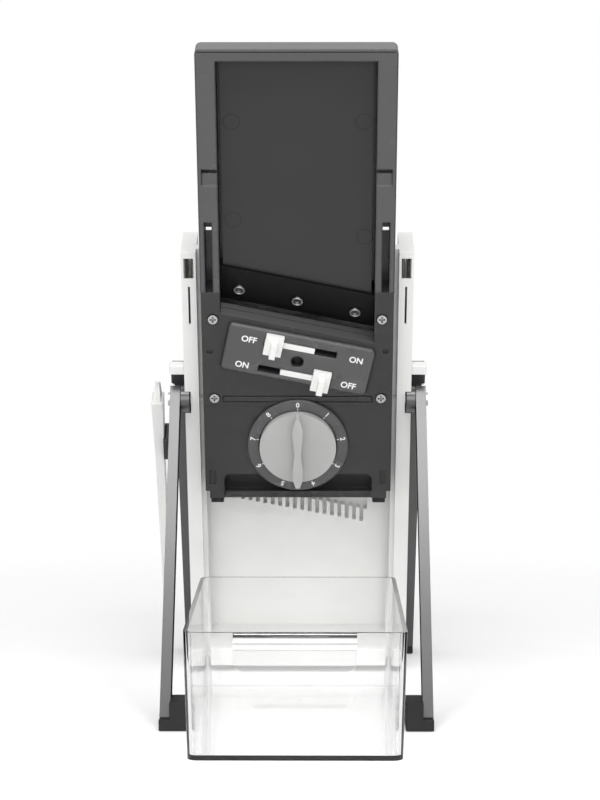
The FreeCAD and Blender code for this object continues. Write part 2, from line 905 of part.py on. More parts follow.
def slider(v, side):
    """White slider: a bar in its slot, a square pad and a finger post. Side is -1 at the left end."""
    centre = slant_centre_z + v
    outer = slider_slot_length / 2 - fit_gap
    inner = outer - slider_travel
    ends = (-outer, inner) if side < 0 else (-inner, outer)
    face = front - plate_rise
    bar = block(ends, (face, cover_back + chassis_wall), span(centre, slider_bar_height))
    middle = side * slider_knob_offset
    pad_back = face - fit_gap
    pad_front = pad_back - slider_knob_rise
    neck = block(span(middle, slider_post_width), (pad_back, face), span(centre, slider_bar_height))
    pad = block(span(middle, slider_knob_width), (pad_front, pad_back), span(centre, slider_knob_height))
    post = block(span(middle, slider_post_width), (pad_front - slider_post_rise, pad_front),
                 span(centre - slider_post_drop, slider_post_height))
    return slanted(bar.fuse(neck).fuse(pad).fuse(post))


def dial_panel():
    """Lower front cover around the dial, with an arch between its two feet."""
    panel = block((-carriage_half, carriage_half), (panel_front, cover_back), (panel_foot, cover_foot))
    arch_half = inner_half - fit_gap
    arch = block((-arch_half, arch_half), (panel_front, cover_back), (column_foot - arch_radius, arch_top))
    arch = rounded(arch, arch_radius, Y_AXIS)
    feet = block(run(arch_half, column_foot_width), (panel_front, cover_back), (column_foot, panel_foot))
    panel = panel.fuse(both_sides(feet)).cut(arch)
    panel = panel.cut(bar_y(0, (panel_front, cover_back), dial_z, spindle_radius + spindle_clearance))
    window_outer = carriage_half - hood_slot_inset
    window = block((window_outer - clip_window_width, window_outer), run(panel_front, window_depth),
                   run(clip_window_foot, clip_window_height))
    return panel.cut(both_sides(window))


def dial_ring():
    """Ring that carries the numbers, with a seat for the knob."""
    ring_front = panel_front - dial_ring_rise
    ring = bar_y(0, (ring_front, panel_front), dial_z, dial_ring_radius)
    seat = bar_y(0, run(ring_front, dial_ring_rise / 2), dial_z, dial_knob_radius + dial_seat_gap)
    bore = bar_y(0, (ring_front, panel_front), dial_z, spindle_radius + spindle_clearance)
    return ring.cut(seat).cut(bore)


def dial_knob():
    """Round knob with a spindle-shaped grip that points at the setting."""
    seat = panel_front - dial_ring_rise / 2 - dial_seat_gap
    disc_front = seat - dial_knob_thickness
    disc = bar_y(0, (disc_front, seat), dial_z, dial_knob_radius)
    half = dial_knob_radius
    stations = [(half, grip_tip), (half * 0.5, grip_bulge), (0, grip_waist), (-half * 0.5, grip_bulge),
                (-half, grip_tip)]
    right = [point(width, disc_front, dial_z + z) for z, width in stations]
    left = [point(-width, disc_front, dial_z + z) for z, width in reversed(stations)]
    sides = []
    for run in (right, left):
        curve = Part.BSplineCurve()
        curve.interpolate(run)
        sides.append(curve.toShape())
    ends = [Part.makeLine(right[-1], left[0]), Part.makeLine(left[-1], right[0])]
    outline = Part.Wire([sides[0], ends[0], sides[1], ends[1]])
    grip = Part.Face(outline).extrude(point(0, -grip_rise, 0))
    return disc.fuse(grip)


def dial_spindle():
    seat = panel_front - dial_ring_rise / 2 - dial_seat_gap
    return bar_y(0, (seat, cutting_plane - spindle_reach), dial_z, spindle_radius)


def julienne_blade_spot(index):
    """Place along and above the slant of one julienne blade: the two rows take turns."""
    row = index % 2
    v = edge_v - julienne_first_row - row * julienne_row_pitch
    x = tooth_x(index)
    turn = math.radians(slant_deg)
    u = (x - v * math.sin(turn)) / math.cos(turn)
    return u, v


def upright_at_slant(index, width, height, y):
    """A small upright block at one julienne place, square to the body's sides."""
    u, v = julienne_blade_spot(index)
    x, z = slant_spot(u, v)
    return block(span(x, width), y, span(z, height))


def thickness_plate():
    """Plate below the blade: the dial draws it back to set the slice. Its ramp leads slices out."""
    plate_front = cutting_plane - thickness_plate_thickness
    head = edge_v - thickness_plate_gap
    half = inner_half - slide_gap
    outline = [(-half, thickness_plate_foot), (half, thickness_plate_foot),
               (half, slant_z(half, head)), (-half, slant_z(-half, head))]
    plate = prism_y(outline, (plate_front, cutting_plane))
    near = blade_thickness + fit_gap
    far = near + thickness_plate_thickness
    tail = head + thickness_ramp_height
    ramp = [(blade_line(head, near), head), (blade_line(head, far), head),
            (blade_line(tail, far), tail), (blade_line(tail, near), tail)]
    ramp = slanted_prism(ramp, carriage_half).common(block((-half, half), (-FAR, FAR), (-FAR, FAR)))
    boss = bar_y(0, (plate_front - boss_length, plate_front), dial_z, boss_radius)
    plate = plate.fuse(ramp).fuse(boss)
    bore = bar_y(0, (plate_front - boss_length, cutting_plane), dial_z, spindle_radius + spindle_clearance)
    plate = plate.cut(bore)
    for index in range(tooth_count):
        width = julienne_blade_thickness + 2 * julienne_slot_gap
        height = julienne_blade_height + 2 * julienne_slot_gap
        plate = plate.cut(upright_at_slant(index, width, height, (plate_front, cutting_plane)))
    return plate


def julienne_bar_back():
    return cutting_plane - thickness_plate_thickness - julienne_travel - fit_gap


def julienne_bar(row):
    """Bar that lifts one row of julienne blades."""
    back = julienne_bar_back()
    v = edge_v - julienne_first_row - row * julienne_row_pitch
    bar = slanted(block(span(0, carriage_width), (back - julienne_bar_thickness, back),
                        span(slant_centre_z + v, julienne_bar_height)))
    half = inner_half - slide_gap
    return bar.common(block((-half, half), (-FAR, FAR), (-FAR, FAR)))


def julienne_blades(row):
    ends = (julienne_bar_back(), cutting_plane - julienne_tip_sink)
    return group([upright_at_slant(index, julienne_blade_thickness, julienne_blade_height, ends)
                  for index in range(row, tooth_count, 2)])


def bumper_right():
    inset = fit_gap * 2
    x = run(inner_half - fit_gap + inset, column_foot_width - 2 * inset)
    return block(x, (panel_front + inset, cover_back + column_foot_depth - inset), (bumper_foot, column_foot))


def guide_shoe_right():
    """Shoe on the carriage's side that runs on the guide rod and rests on the spring."""
    z = run(shoe_foot, shoe_height)
    shoe = block((carriage_half, rail_outer - rail_wall - shoe_gap), span(rod_y, shoe_thickness), z)
    return shoe.cut(bar_z(rod_x, rod_y, z, rod_radius + rod_clearance))


# Stand

def leg_bar(pivot_y, head, inner, turn_deg, foot):
    """Flat bar from above a pivot down to a level cut at the foot."""
    y, z = world_spot(pivot_y, pivot_z)
    x = run(inner, leg_thickness)
    bar = block(x, span(y, leg_width), (-FAR, z + head))
    bar.rotate(point(0, y, z), X_AXIS, turn_deg)
    bar = bar.common(block(x, (-FAR, FAR), (foot, FAR)))
    return bar.cut(bar_x(x, y, z, pin_radius + pin_clearance))


def front_foot_y():
    y, z = world_spot(front_pivot_y, pivot_z)
    return y - z * spread


def front_leg_right():
    return leg_bar(front_pivot_y, front_leg_head, front_leg_inner, -leg_spread_deg, foot_height)


def front_hub_right():
    """Barrel between the leg and the rail, turning with the leg."""
    y, z = world_spot(front_pivot_y, pivot_z)
    ends = (rail_outer - hub_sink, front_leg_inner)
    return bar_x(ends, y, z, hub_radius).cut(bar_x(ends, y, z, pin_radius + pin_clearance))


def front_foot_right():
    """Rubber foot under the leg, with a toe toward the tray."""
    y = span(front_foot_y(), foot_length)
    toe_inner = front_leg_inner - foot_toe_reach
    sole = block((toe_inner, front_leg_outer), y, (0, foot_height))
    toe = block((toe_inner, front_leg_inner), y, (foot_height, foot_toe_height))
    return sole.fuse(toe)


def rear_leg_cap():
    """Broad end above the rear pivot, as wide as both legs."""
    y, z = world_spot(rear_pivot_y, pivot_z)
    cap = block((rear_leg_inner, front_leg_outer), span(y, leg_width), (z + rear_cap_foot, z + rear_leg_head))
    cap.rotate(point(0, y, z), X_AXIS, leg_spread_deg)
    return cap


def rear_leg_frame():
    """Two bars joined by a cross bar behind the body."""
    bar = leg_bar(rear_pivot_y, rear_leg_head, rear_leg_inner, leg_spread_deg, sole_height).fuse(rear_leg_cap())
    cross = block((-rear_leg_outer, rear_leg_outer), span(0, crossbar_width), run(sole_height, crossbar_height))
    return cross.fuse(bar).fuse(mirrored(bar))


def rear_sole():
    return block((-rear_leg_outer, rear_leg_outer), span(0, sole_length), (0, sole_height))


# Tray

def tray_wire(half_width, front_y, back_y, corner, z):
    base = block((-half_width, half_width), (front_y, back_y), (z, z + 1))
    base = rounded(base, corner, Z_AXIS)
    for face in base.Faces:
        if abs(face.CenterOfMass.z - z) < 1e-6:
            return face.OuterWire
    raise ValueError("the tray outline has no base")


def tray_body(inset, floor, top):
    """Drafted box: narrower at the floor than at the rim."""
    slack = tray_draft + inset
    half = tray_width / 2
    back_y = tray_front_y + tray_depth
    low = tray_wire(half - slack, tray_front_y + slack, back_y - slack, tray_corner - inset, floor)
    high = tray_wire(half - inset, tray_front_y + inset, back_y - inset, tray_corner - inset, top)
    return Part.makeLoft([low, high], True, True)


def pull_lip():
    """Curved lip that hangs in front of the rim, open below for the fingers."""
    reach = tray_front_y - lip_pull_reach
    bottom = tray_height - lip_pull_drop
    back = tray_front_y + tray_wall
    x = span(0, lip_pull_width)
    outer = block(x, (reach, back), (bottom, tray_height))
    outer = rounded_front_top(outer, reach, lip_pull_radius)
    inner = block(x, (reach + lip_pull_wall, back), (bottom, tray_height - lip_pull_wall))
    inner = rounded_front_top(inner, reach + lip_pull_wall, lip_pull_radius - lip_pull_wall)
    lip = outer.cut(inner)
    corners = [edge for edge in edges_along(lip, Y_AXIS) if edge.CenterOfMass.z < bottom + fit_gap]
    return lip.makeFillet(lip_pull_corner, corners)


def rounded_front_top(shape, front_y, radius):
    """Rounds the edge along X at the front and top of a block."""
    top = shape.BoundBox.ZMax
    chosen = []
    for edge in edges_along(shape, X_AXIS):
        middle = edge.CenterOfMass
        if abs(middle.y - front_y) < 1e-6 and abs(middle.z - top) < 1e-6:
            chosen.append(edge)
    return shape.makeFillet(radius, chosen)


def catch_tray():
    shell = tray_body(0, 0, tray_height)
    inside = tray_body(tray_wall, tray_floor, tray_height)
    return shell.fuse(pull_lip()).cut(inside)


# Brush

def along_rear_leg(shape):
    """Places a piece drawn upright below the rear pivot along the left rear leg."""
    y, z = world_spot(rear_pivot_y, pivot_z)
    placed = shape.copy()
    placed.rotate(CENTRE, X_AXIS, leg_spread_deg)
    placed.translate(point(0, y, z))
    return placed


def brush_x():
    return -(rear_leg_outer + brush_gap + brush_thickness / 2)


def handle_section(thickness, width, z):
    left, right = span(brush_x(), thickness)
    near, far = span(0, width)
    corners = [(left, near), (right, near), (right, far), (left, far), (left, near)]
    return Part.makePolygon([point(x, y, z) for x, y in corners])


def brush_handle():
    """Flat handle: a broad head that narrows to a slim grip."""
    top = -brush_top - bristle_length
    tail = -brush_top - brush_length
    sections = [handle_section(brush_tail_thickness, brush_tail_width, tail),
                handle_section(brush_neck_thickness, brush_neck_width, top - brush_head_length),
                handle_section(brush_thickness, brush_width, top)]
    return along_rear_leg(Part.makeLoft(sections, True, True))


def brush_bristles():
    z = (-brush_top - bristle_length, -brush_top)
    return along_rear_leg(block(span(brush_x(), bristle_thickness), span(0, bristle_width), z))


def brush_clip():
    """Clip on the leg with two hooks at the handle's edges and two holes for its screws."""
    inner = -rear_leg_outer
    base = inner - brush_gap + clip_gap
    half = brush_width / 2 + clip_gap
    z = (-clip_top - clip_height, -clip_top)
    foot = block((base, inner), span(0, leg_width), z)
    pad = block((base, base + clip_wall), (-half - clip_wall, half + clip_wall), z)
    clip = foot.fuse(pad)
    hole_x = (base + clip_wall + inner) / 2
    middle = -clip_top - clip_height / 2
    for hole_z in span(middle, clip_hole_pitch):
        clip = clip.cut(bar_y(hole_x, span(0, leg_width), hole_z, clip_hole_radius))
    for arm_y in (half, -half - clip_wall):
        clip = clip.fuse(block((base - clip_grip, base), run(arm_y, clip_wall), z))
    return along_rear_leg(clip)


def pair(name, shape):
    """A right piece and its mirror image on the left."""
    return {"left_" + name: mirrored(shape), "right_" + name: shape}


def all_pieces():
    pieces = {}
    body_pairs = {
        "rail": rail_right(),
        "rail_cap": rail_cap_right(),
        "guide_rod": guide_rod_right(),
        "return_spring": return_spring_right(),
        "leg_stop": leg_stop_right(),
        "guide_shoe": guide_shoe_right(),
        "bumper": bumper_right(),
    }
    for name, shape in body_pairs.items():
        pieces.update(pair(name, in_world(shape)))
    pieces.update(pair("front_leg", front_leg_right()))
    pieces.update(pair("front_hub", front_hub_right()))
    pieces.update(pair("front_foot", front_foot_right()))
    body_pieces = {
        "frame_wall": frame_wall(),
        "base_bar": base_bar(),
        "front_pivot_pins": pivot_pins(front_pivot_y, front_leg_outer),
        "rear_pivot_pins": pivot_pins(rear_pivot_y, rear_leg_outer),
        "food_chute": food_chute(),
        "chute_screws": chute_screws(),
        "pusher_plate": pusher_plate(),
        "pusher_cap": pusher_cap(),
        "hood": hood(),
        "hood_back": hood_back(),
        "upper_plate": upper_plate(),
        "slicing_blade": slicing_blade(),
        "blade_clamp": blade_clamp(),
        "blade_bed": blade_bed(),
        "blade_screws": blade_screws(),
        "guard_plate": guard_plate(),
        "chassis": chassis(),
        "slider_cover": slider_cover(),
        "cover_screws": cover_screws(),
        "slider_plate": slider_plate(),
        "upper_slider": slider(slider_middle + slider_row, -1),
        "lower_slider": slider(slider_middle - slider_row, 1),
        "dial_panel": dial_panel(),
        "dial_ring": dial_ring(),
        "dial_knob": dial_knob(),
        "dial_spindle": dial_spindle(),
        "thickness_plate": thickness_plate(),
        "upper_julienne_bar": julienne_bar(0),
        "lower_julienne_bar": julienne_bar(1),
        "upper_julienne_blades": julienne_blades(0),
        "lower_julienne_blades": julienne_blades(1),
    }
    for name, shape in body_pieces.items():
        pieces[name] = in_world(shape)
    pieces["rear_leg_frame"] = rear_leg_frame()
    pieces["rear_sole"] = rear_sole()
    pieces["catch_tray"] = catch_tray()
    pieces["brush_handle"] = brush_handle()
    pieces["brush_bristles"] = brush_bristles()
    pieces["brush_clip"] = brush_clip()
    return pieces


def main():
    os.makedirs("parts", exist_ok=True)
    for name, shape in all_pieces().items():
        shape.exportStep("parts/" + name + ".step")
        print(name, "solids", len(shape.Solids), "volume", round(shape.Volume, 1), "valid", shape.isValid())


if __name__ == "__main__":
    main()
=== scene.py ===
import json
import math
import random

import bpy
from mathutils import Matrix, Vector


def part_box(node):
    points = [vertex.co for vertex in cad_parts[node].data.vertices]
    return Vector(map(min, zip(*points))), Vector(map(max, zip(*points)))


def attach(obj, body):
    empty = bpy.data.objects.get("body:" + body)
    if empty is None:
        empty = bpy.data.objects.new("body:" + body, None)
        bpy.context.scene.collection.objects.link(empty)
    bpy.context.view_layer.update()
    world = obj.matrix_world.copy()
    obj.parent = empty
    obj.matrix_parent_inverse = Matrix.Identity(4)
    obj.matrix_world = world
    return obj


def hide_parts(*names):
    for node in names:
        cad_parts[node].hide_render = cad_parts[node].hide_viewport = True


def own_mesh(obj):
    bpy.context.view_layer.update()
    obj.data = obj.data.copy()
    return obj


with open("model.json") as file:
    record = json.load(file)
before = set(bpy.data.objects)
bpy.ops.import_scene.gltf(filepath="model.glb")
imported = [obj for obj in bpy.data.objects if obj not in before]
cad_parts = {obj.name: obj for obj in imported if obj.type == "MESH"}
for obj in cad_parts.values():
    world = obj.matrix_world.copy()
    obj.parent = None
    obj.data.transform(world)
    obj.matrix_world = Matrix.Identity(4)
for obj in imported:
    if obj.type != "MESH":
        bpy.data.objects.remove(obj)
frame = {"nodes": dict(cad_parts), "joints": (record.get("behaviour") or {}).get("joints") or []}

bl_info = {
    "name": "Mandoline slicer looks",
    "version": (1, 0, 0),
    "blender": (4, 5, 0),
    "location": "View3D > Sidebar > Slicer",
    "description": "Finishes, printed marks, springs, bristles and studio for a push-down mandoline slicer",
    "category": "Object",
}

MM = 0.001
WHITE = (1.0, 1.0, 1.0, 1.0)

# Mould marks of the hood's plate, across and above the dial's centre in millimetres
MARK_SPOTS = ((-37.6, 204.7), (38.4, 204.7), (-37.5, 144.5), (39.8, 133.8))

# Words of the slider plate: piece, text, and place along and across its slanted middle in millimetres
SLIDER_WORDS = (("upper_off", "OFF", -31.1, 7.8), ("upper_on", "ON", 34.2, 7.5),
                ("lower_on", "ON", -32.0, -9.3), ("lower_off", "OFF", 33.1, -9.8))

# Height of a capital as a share of the font's size, and spread of the ink as a share of that height
CAPITAL_SHARE = 0.7
INK_SPREAD = 0.035

# Numbers on the dial, and the degrees from one to the next
NUMBERS = range(9)
NUMBER_STEP = 40

# Blade screws: how many, the steps across by which faces are grouped into heads, how far a face has to look
# toward the user, and how level with the top of a head it has to lie
BLADE_SCREWS = 3
HEAD_STEP = 30 * MM
TOWARD_USER = -0.3
HEAD_LEVEL = 0.99

# Edges of the legs: width as a multiple of the mouldings' edges, and segments
LEG_EDGE_TIMES = 3
LEG_SEGMENTS = 4

# Return springs: points in one turn, and room for the wire at the sides and ends in wire radii
COIL_POINTS = 14
COIL_SIDE_ROOM = 1.2
COIL_END_ROOM = 2

# Brush: rows, strands in a row, seed, room beside the strands in strand radii, and how far the tips close up,
# lean and differ in height
STRAND_ROWS = 8
STRANDS_IN_ROW = 14
STRAND_SEED = 7
STRAND_ROOM = 2.4
TIP_CLOSE = 0.5
TIP_LEAN = 0.4 * MM
TIP_HEIGHTS = (0.25, 0.49)

# Noise levels between which a pigment drifts, and how far roughness varies on plastic and on metal
PATCH_SPAN = (0.3, 0.7)
PLASTIC_SPREAD = 0.04
METAL_SPREAD = 0.06

# How far a surface turns to a side before it darkens (painted side shade in a moulding's colour, less gloss
# on the legs) and where it is darkest, and the share of colour left there by the painted side shade
SIDE_SPAN = (0.1, 0.6)
PAINTED_SIDE_SHADE = 0.4

# Painted shade in screw recesses: how fast it deepens, and its scene-linear grey
HOLLOW_SHADE_FALL = 2.5
HOLLOW_SHADE_GREY = (0.01, 0.01, 0.01, 1.0)

# Sockets of the colour mix, which share their names with others: dark, bright and result
MIX_DARK = 6
MIX_BRIGHT = 7
MIX_RESULT = 2

# Gap that welds a node's seams, and the angles that count as flat and as an edge
WELD_GAP = 0.002 * MM
FLAT_ANGLE = math.radians(1.0)
EDGE_ANGLE = math.radians(40)

# Studio lamps: name, property that holds the power, then place, target, width and height in metres
SLICER_MIDDLE = (0.0, -0.15, 0.2)
LAMPS = (("key", "key_power", (0.0, -0.80, 1.15), (0.0, -0.80, 0.0), 0.9, 0.44),
         ("fill", "fill_power", (0.0, -1.6, 0.5), SLICER_MIDDLE, 1.2, 0.8),
         ("strip_left", "strip_power", (-0.9, -0.5, 0.4), SLICER_MIDDLE, 0.3, 0.9),
         ("strip_right", "strip_power", (0.9, -0.5, 0.4), SLICER_MIDDLE, 0.3, 0.9))

# Black cards: near edge, far edge and top in metres
CARD_NEAR = -0.75
CARD_FAR = 0.35
CARD_TOP = 0.6

# Corners of the floor's rim, its middle, and the shares of its radius between which it fades out
FLOOR_CORNERS = 96
FLOOR_MIDDLE = (0.0, -0.15)
FADE_START = 0.3
FADE_END = 0.95


def linear(hex_colour):
    """Scene-linear RGB of an sRGB hex colour."""
    parts = [int(hex_colour[i:i + 2], 16) / 255 for i in (1, 3, 5)]
    return tuple(p / 12.92 if p <= 0.04045 else ((p + 0.055) / 1.055) ** 2.4 for p in parts)


def colour(name, description, hex_colour):
    """A colour property that starts at an sRGB hex colour."""
    return bpy.props.FloatVectorProperty(name=name, description=description, subtype="COLOR", size=3,
                                         min=0.0, max=1.0, default=linear(hex_colour))


def length(name, description, millimetres):
    """A length property, given in millimetres."""
    return bpy.props.FloatProperty(name=name, description=description, unit="LENGTH", subtype="DISTANCE",
                                   precision=5, min=0.0, default=millimetres * MM)


def angle(name, description, degrees):
    """An angle property, given in degrees."""
    return bpy.props.FloatProperty(name=name, description=description, unit="ROTATION", subtype="ANGLE",
                                   default=math.radians(degrees))


def power(name, description, watts):
    """A lamp's power property in watts."""
    return bpy.props.FloatProperty(name=name, description=description, subtype="POWER", min=0.0,
                                   default=watts)


class SlicerColours(bpy.types.PropertyGroup):
    """Colours of the slicer's materials."""

    white: colour("White", "Moulded white of the frame, brush and sliders", "#E9E9E7")
    hood: colour("Hood", "Grained grey of the hood, the slider plate and the dial's ring", "#4F4F50")
    charcoal: colour("Charcoal", "Dark grey of the carriage mouldings, pusher and brush clip", "#363637")
    plate: colour("Plate", "Recessed plate of the hood", "#303031")
    clamp: colour("Clamp", "Darker strip that holds the blade, and the mould marks", "#161617")
    knob: colour("Knob", "Pale grey of the dial knob", "#B0B0AF")
    leg: colour("Leg", "Painted metal of the legs", "#3A3A3C")
    steel: colour("Steel", "Blades, rods, pins, springs and the rims of the blade screws", "#C6C6C4")
    zinc: colour("Zinc", "Plated screw heads", "#B9B9B7")
    black_steel: colour("Black steel", "Oxidised blade screws", "#8C8C8E")
    rubber: colour("Rubber", "Feet, sole and bumpers", "#141414")
    clear: colour("Clear", "Tint of the clear tray", "#FCFCFC")
    depth_tint: colour("Depth tint", "What the clear tray turns to along its walls", "#8B8D90")
    ink: colour("Ink", "Printed numbers and words", "#EDEDED")
    nylon: colour("Nylon", "Bristles of the brush", "#F0F0EE")


class SlicerSizes(bpy.types.PropertyGroup):
    """Sizes of the pieces added to the frame."""

    edge: length("Edge", "Width of the softened edges of the mouldings", 0.6)
    screw_edge: length("Screw edge", "Width of the softened edges of the screw heads", 0.25)
    number_height: length("Number height", "Height of the dial's numbers", 3.0)
    number_radius: length("Number radius", "Distance of the numbers from the dial's centre", 27.6)
    tick_radius: length("Tick radius", "Distance of the tick marks from the dial's centre", 24.8)
    tick_length: length("Tick length", "Length of a tick mark", 1.3)
    tick_width: length("Tick width", "Width of a tick mark", 0.4)
    ring_rise: length("Ring rise", "How far the dial's ring stands out from the carriage", 1.5)
    word_height: length("Word height", "Letter height of the slider words", 3.7)
    slider_rise: length("Slider rise", "How far the slider plate stands out from the carriage", 3.0)
    slider_height: length("Slider height", "Height of the slider plate's middle above the dial", 58.1)
    ink_thickness: length("Ink thickness", "Height of the ink above its face", 0.05)
    plate_recess: length("Plate recess", "Depth of the hood's plate behind the carriage's front", 8.0)
    mark_radius: length("Mark radius", "Radius of a mould mark", 4.7)
    mark_width: length("Mark width", "Width of a mould mark's rim", 0.5)
    hood_height: length("Hood height", "Height of the hood's top above the dial's centre", 250.1)
    # The dark line at this drop is the lip's parting line drawn with painted shade of the groove under it
    lip_drop: length("Lip drop", "Drop of the hood's parting line below its top", 1.6)
    rim_radius: length("Rim radius", "Radius of the bright rim of a blade screw", 2.9)
    rim_width: length("Rim width", "Width of the bright rim of a blade screw", 0.9)
    rim_rise: length("Rim rise", "Height of the bright rim above its screw head", 0.5)
    spring_wire: length("Spring wire", "Wire radius of a return spring", 0.35)
    spring_pitch: length("Spring pitch", "Rise of a return spring in one turn", 4.0)
    strand_radius: length("Strand radius", "Radius of one bristle", 0.32)
    bristle_thickness: length("Bristle thickness", "Size of the bristles across the brush", 4.6)
    bristle_width: length("Bristle width", "Size of the bristles from front to back", 12.0)
    bristle_length: length("Bristle length", "Length of the bristles", 11.0)


class SlicerStage(bpy.types.PropertyGroup):
    """The studio around the slicer."""

    floor_radius: length("Floor radius", "Radius of the floor", 700.0)
    floor_drop: length("Floor drop", "Gap between the floor and the slicer's feet", 0.3)
    floor_colour: colour("Floor", "Pale floor", "#F4F4F4")
    floor_lift: bpy.props.FloatProperty(name="Floor lift", description="Light added to the floor for the eye",
                                        min=0.0, default=0.12)
    flag_distance: length("Flag distance", "How far each black card stands to the side", 260.0)
    flag_colour: colour("Flag", "Black of the cards", "#0A0A0A")
    ambient: bpy.props.FloatProperty(name="Ambient", description="Strength of the light from all round",
                                     min=0.0, default=0.62)
    key_power: power("Key", "Power of the overhead softbox in watts", 8.8)
    fill_power: power("Fill", "Power of the front softbox in watts", 8.8)
    strip_power: power("Strip", "Power of each side strip in watts", 0.5)
    camera_place: bpy.props.FloatVectorProperty(name="Camera place", description="Where the camera stands",
                                                unit="LENGTH", subtype="TRANSLATION", size=3,
                                                default=(0.01127, -1.4563, 0.28073))
    camera_tilt: angle("Camera tilt", "How far the camera is raised from looking straight down", 85.671)
    camera_turn: angle("Camera turn", "How far the camera is turned to the left", 0.432)
    camera_lens: bpy.props.FloatProperty(name="Lens", description="Focal length in millimetres",
                                         unit="CAMERA", min=1.0, default=97.75)
    camera_sensor: bpy.props.FloatProperty(name="Sensor", description="Sensor width in millimetres",
                                           unit="CAMERA", min=1.0, default=36.0)


def joint(name):
    """The frame's joint of that name."""
    return next(j for j in frame["joints"] if j["name"] == name)


def axis(name):
    """Direction of a joint in the world."""
    return Vector(joint(name)["axis"])


def carriage_frame():
    """Axes at the dial's centre: x right, y away from the user, z up along the leaning carriage."""
    up = axis("carriage_slide")
    lean = math.atan2(-up.y, up.z)
    return Matrix.Translation(joint("dial_turn")["pos_m"]) @ Matrix.Rotation(lean, 4, "X")


def slant_angle():
    """Angle by which the slider plate falls to the right."""
    slope = carriage_frame().to_3x3().inverted() @ axis("upper_slider_slide")
    return math.atan2(-slope.z, slope.x)


def add_node(tree, kind, inputs=None, **settings):
    """Adds a shader node, sets its properties and fills its sockets with values or links."""
    node = tree.nodes.new(kind)
    for key, value in settings.items():
        setattr(node, key, value)
    for key, value in (inputs or {}).items():
        if isinstance(value, bpy.types.NodeSocket):
            tree.links.new(value, node.inputs[key])
        else:
            node.inputs[key].default_value = value
    return node


def new_material(name):
    """An empty material and its node tree."""
    material = bpy.data.materials.new(name)
    material.use_nodes = True
    material.node_tree.nodes.clear()
    return material, material.node_tree


def drifting(tree, rgb, drift, patch):
    """The object's coordinates, broad patches, and a colour that drifts with them as pigment does."""
    place = add_node(tree, "ShaderNodeTexCoord").outputs["Object"]
    noise = add_node(tree, "ShaderNodeTexNoise", {"Vector": place, "Scale": 1 / patch, "Detail": 2.0})
    ramp = add_node(tree, "ShaderNodeValToRGB", {"Fac": noise.outputs["Fac"]})
    for stop, spot, change in zip(ramp.color_ramp.elements, PATCH_SPAN, (-drift, drift)):
        stop.position = spot
        stop.color = [min(1.0, c * (1 + change)) for c in rgb] + [1.0]
    return place, noise.outputs["Fac"], ramp.outputs["Color"]


def side_share(tree, normal, least):
    """A share that falls from 1 to its least value where a surface turns to the left or right."""
    parts = add_node(tree, "ShaderNodeSeparateXYZ", {"Vector": normal})
    side = add_node(tree, "ShaderNodeMath", {0: parts.outputs["X"]}, operation="ABSOLUTE")
    start, end = SIDE_SPAN
    share = add_node(tree, "ShaderNodeMapRange", {"Value": side.outputs[0], "From Min": start,
                                                  "From Max": end, "To Min": 1.0, "To Max": least})
    return share.outputs["Result"]


def moulded(name, rgb, roughness, grain, depth, drift=0.02, patch=30 * MM, rounding=0.0, **sockets):
    """A plastic, rubber or paint with grain of a given size and depth. Rounding gives its edges a soft turn,
    and its colour then gets painted shade where it faces left or right, standing for dark cards beside it."""
    material, tree = new_material(name)
    place, patches, tint = drifting(tree, rgb, drift, patch)
    texture = add_node(tree, "ShaderNodeTexNoise", {"Vector": place, "Scale": 1 / grain, "Detail": 3.0,
                                                    "Roughness": 0.6})
    bump = add_node(tree, "ShaderNodeBump", {"Height": texture.outputs["Fac"], "Strength": 1.0,
                                             "Distance": depth})
    # Painted shade: the colour is scaled down where the rounded normal turns to the left or right
    if rounding:
        turn = add_node(tree, "ShaderNodeBevel", {"Radius": rounding}).outputs["Normal"]
        tree.links.new(turn, bump.inputs["Normal"])
        shaded_sides = add_node(tree, "ShaderNodeVectorMath", {0: tint, "Scale": side_share(tree, turn, PAINTED_SIDE_SHADE)},
                       operation="SCALE")
        tint = shaded_sides.outputs["Vector"]
    polish = add_node(tree, "ShaderNodeMapRange", {"Value": patches, "To Min": roughness - PLASTIC_SPREAD,
                                                   "To Max": roughness + PLASTIC_SPREAD})
    shade = add_node(tree, "ShaderNodeBsdfPrincipled", {"Base Color": tint, "Normal": bump.outputs["Normal"],
                                                        "Roughness": polish.outputs["Result"], **sockets})
    add_node(tree, "ShaderNodeOutputMaterial", {"Surface": shade.outputs["BSDF"]})
    return material


def painted_bar(name, rgb):
    """Satin paint that is glossy on the faces toward the user and matt on the sides."""
    material = moulded(name, rgb, roughness=0.34, grain=0.7 * MM, depth=0.010 * MM, drift=0.04,
                       **{"Coat Roughness": 0.22})
    tree = material.node_tree
    shade = tree.nodes["Principled BSDF"]
    gloss = side_share(tree, add_node(tree, "ShaderNodeTexCoord").outputs["Normal"], 0.0)
    level = add_node(tree, "ShaderNodeMath", {0: gloss, 1: 0.5}, operation="MULTIPLY")
    tree.links.new(gloss, shade.inputs["Coat Weight"])
    tree.links.new(level.outputs[0], shade.inputs["Specular IOR Level"])
    return material


def darkened_hollows(tree, tint, depth):
    """A colour with painted shade in recesses of about a depth: ambient occlusion darkens it there."""
    shut = add_node(tree, "ShaderNodeAmbientOcclusion", {"Distance": depth})
    share = add_node(tree, "ShaderNodeMath", {0: shut.outputs["AO"], 1: HOLLOW_SHADE_FALL}, operation="POWER")
    mix = add_node(tree, "ShaderNodeMix", {"Factor": share.outputs[0], MIX_DARK: HOLLOW_SHADE_GREY,
                                           MIX_BRIGHT: tint}, data_type="RGBA")
    return mix.outputs[MIX_RESULT]


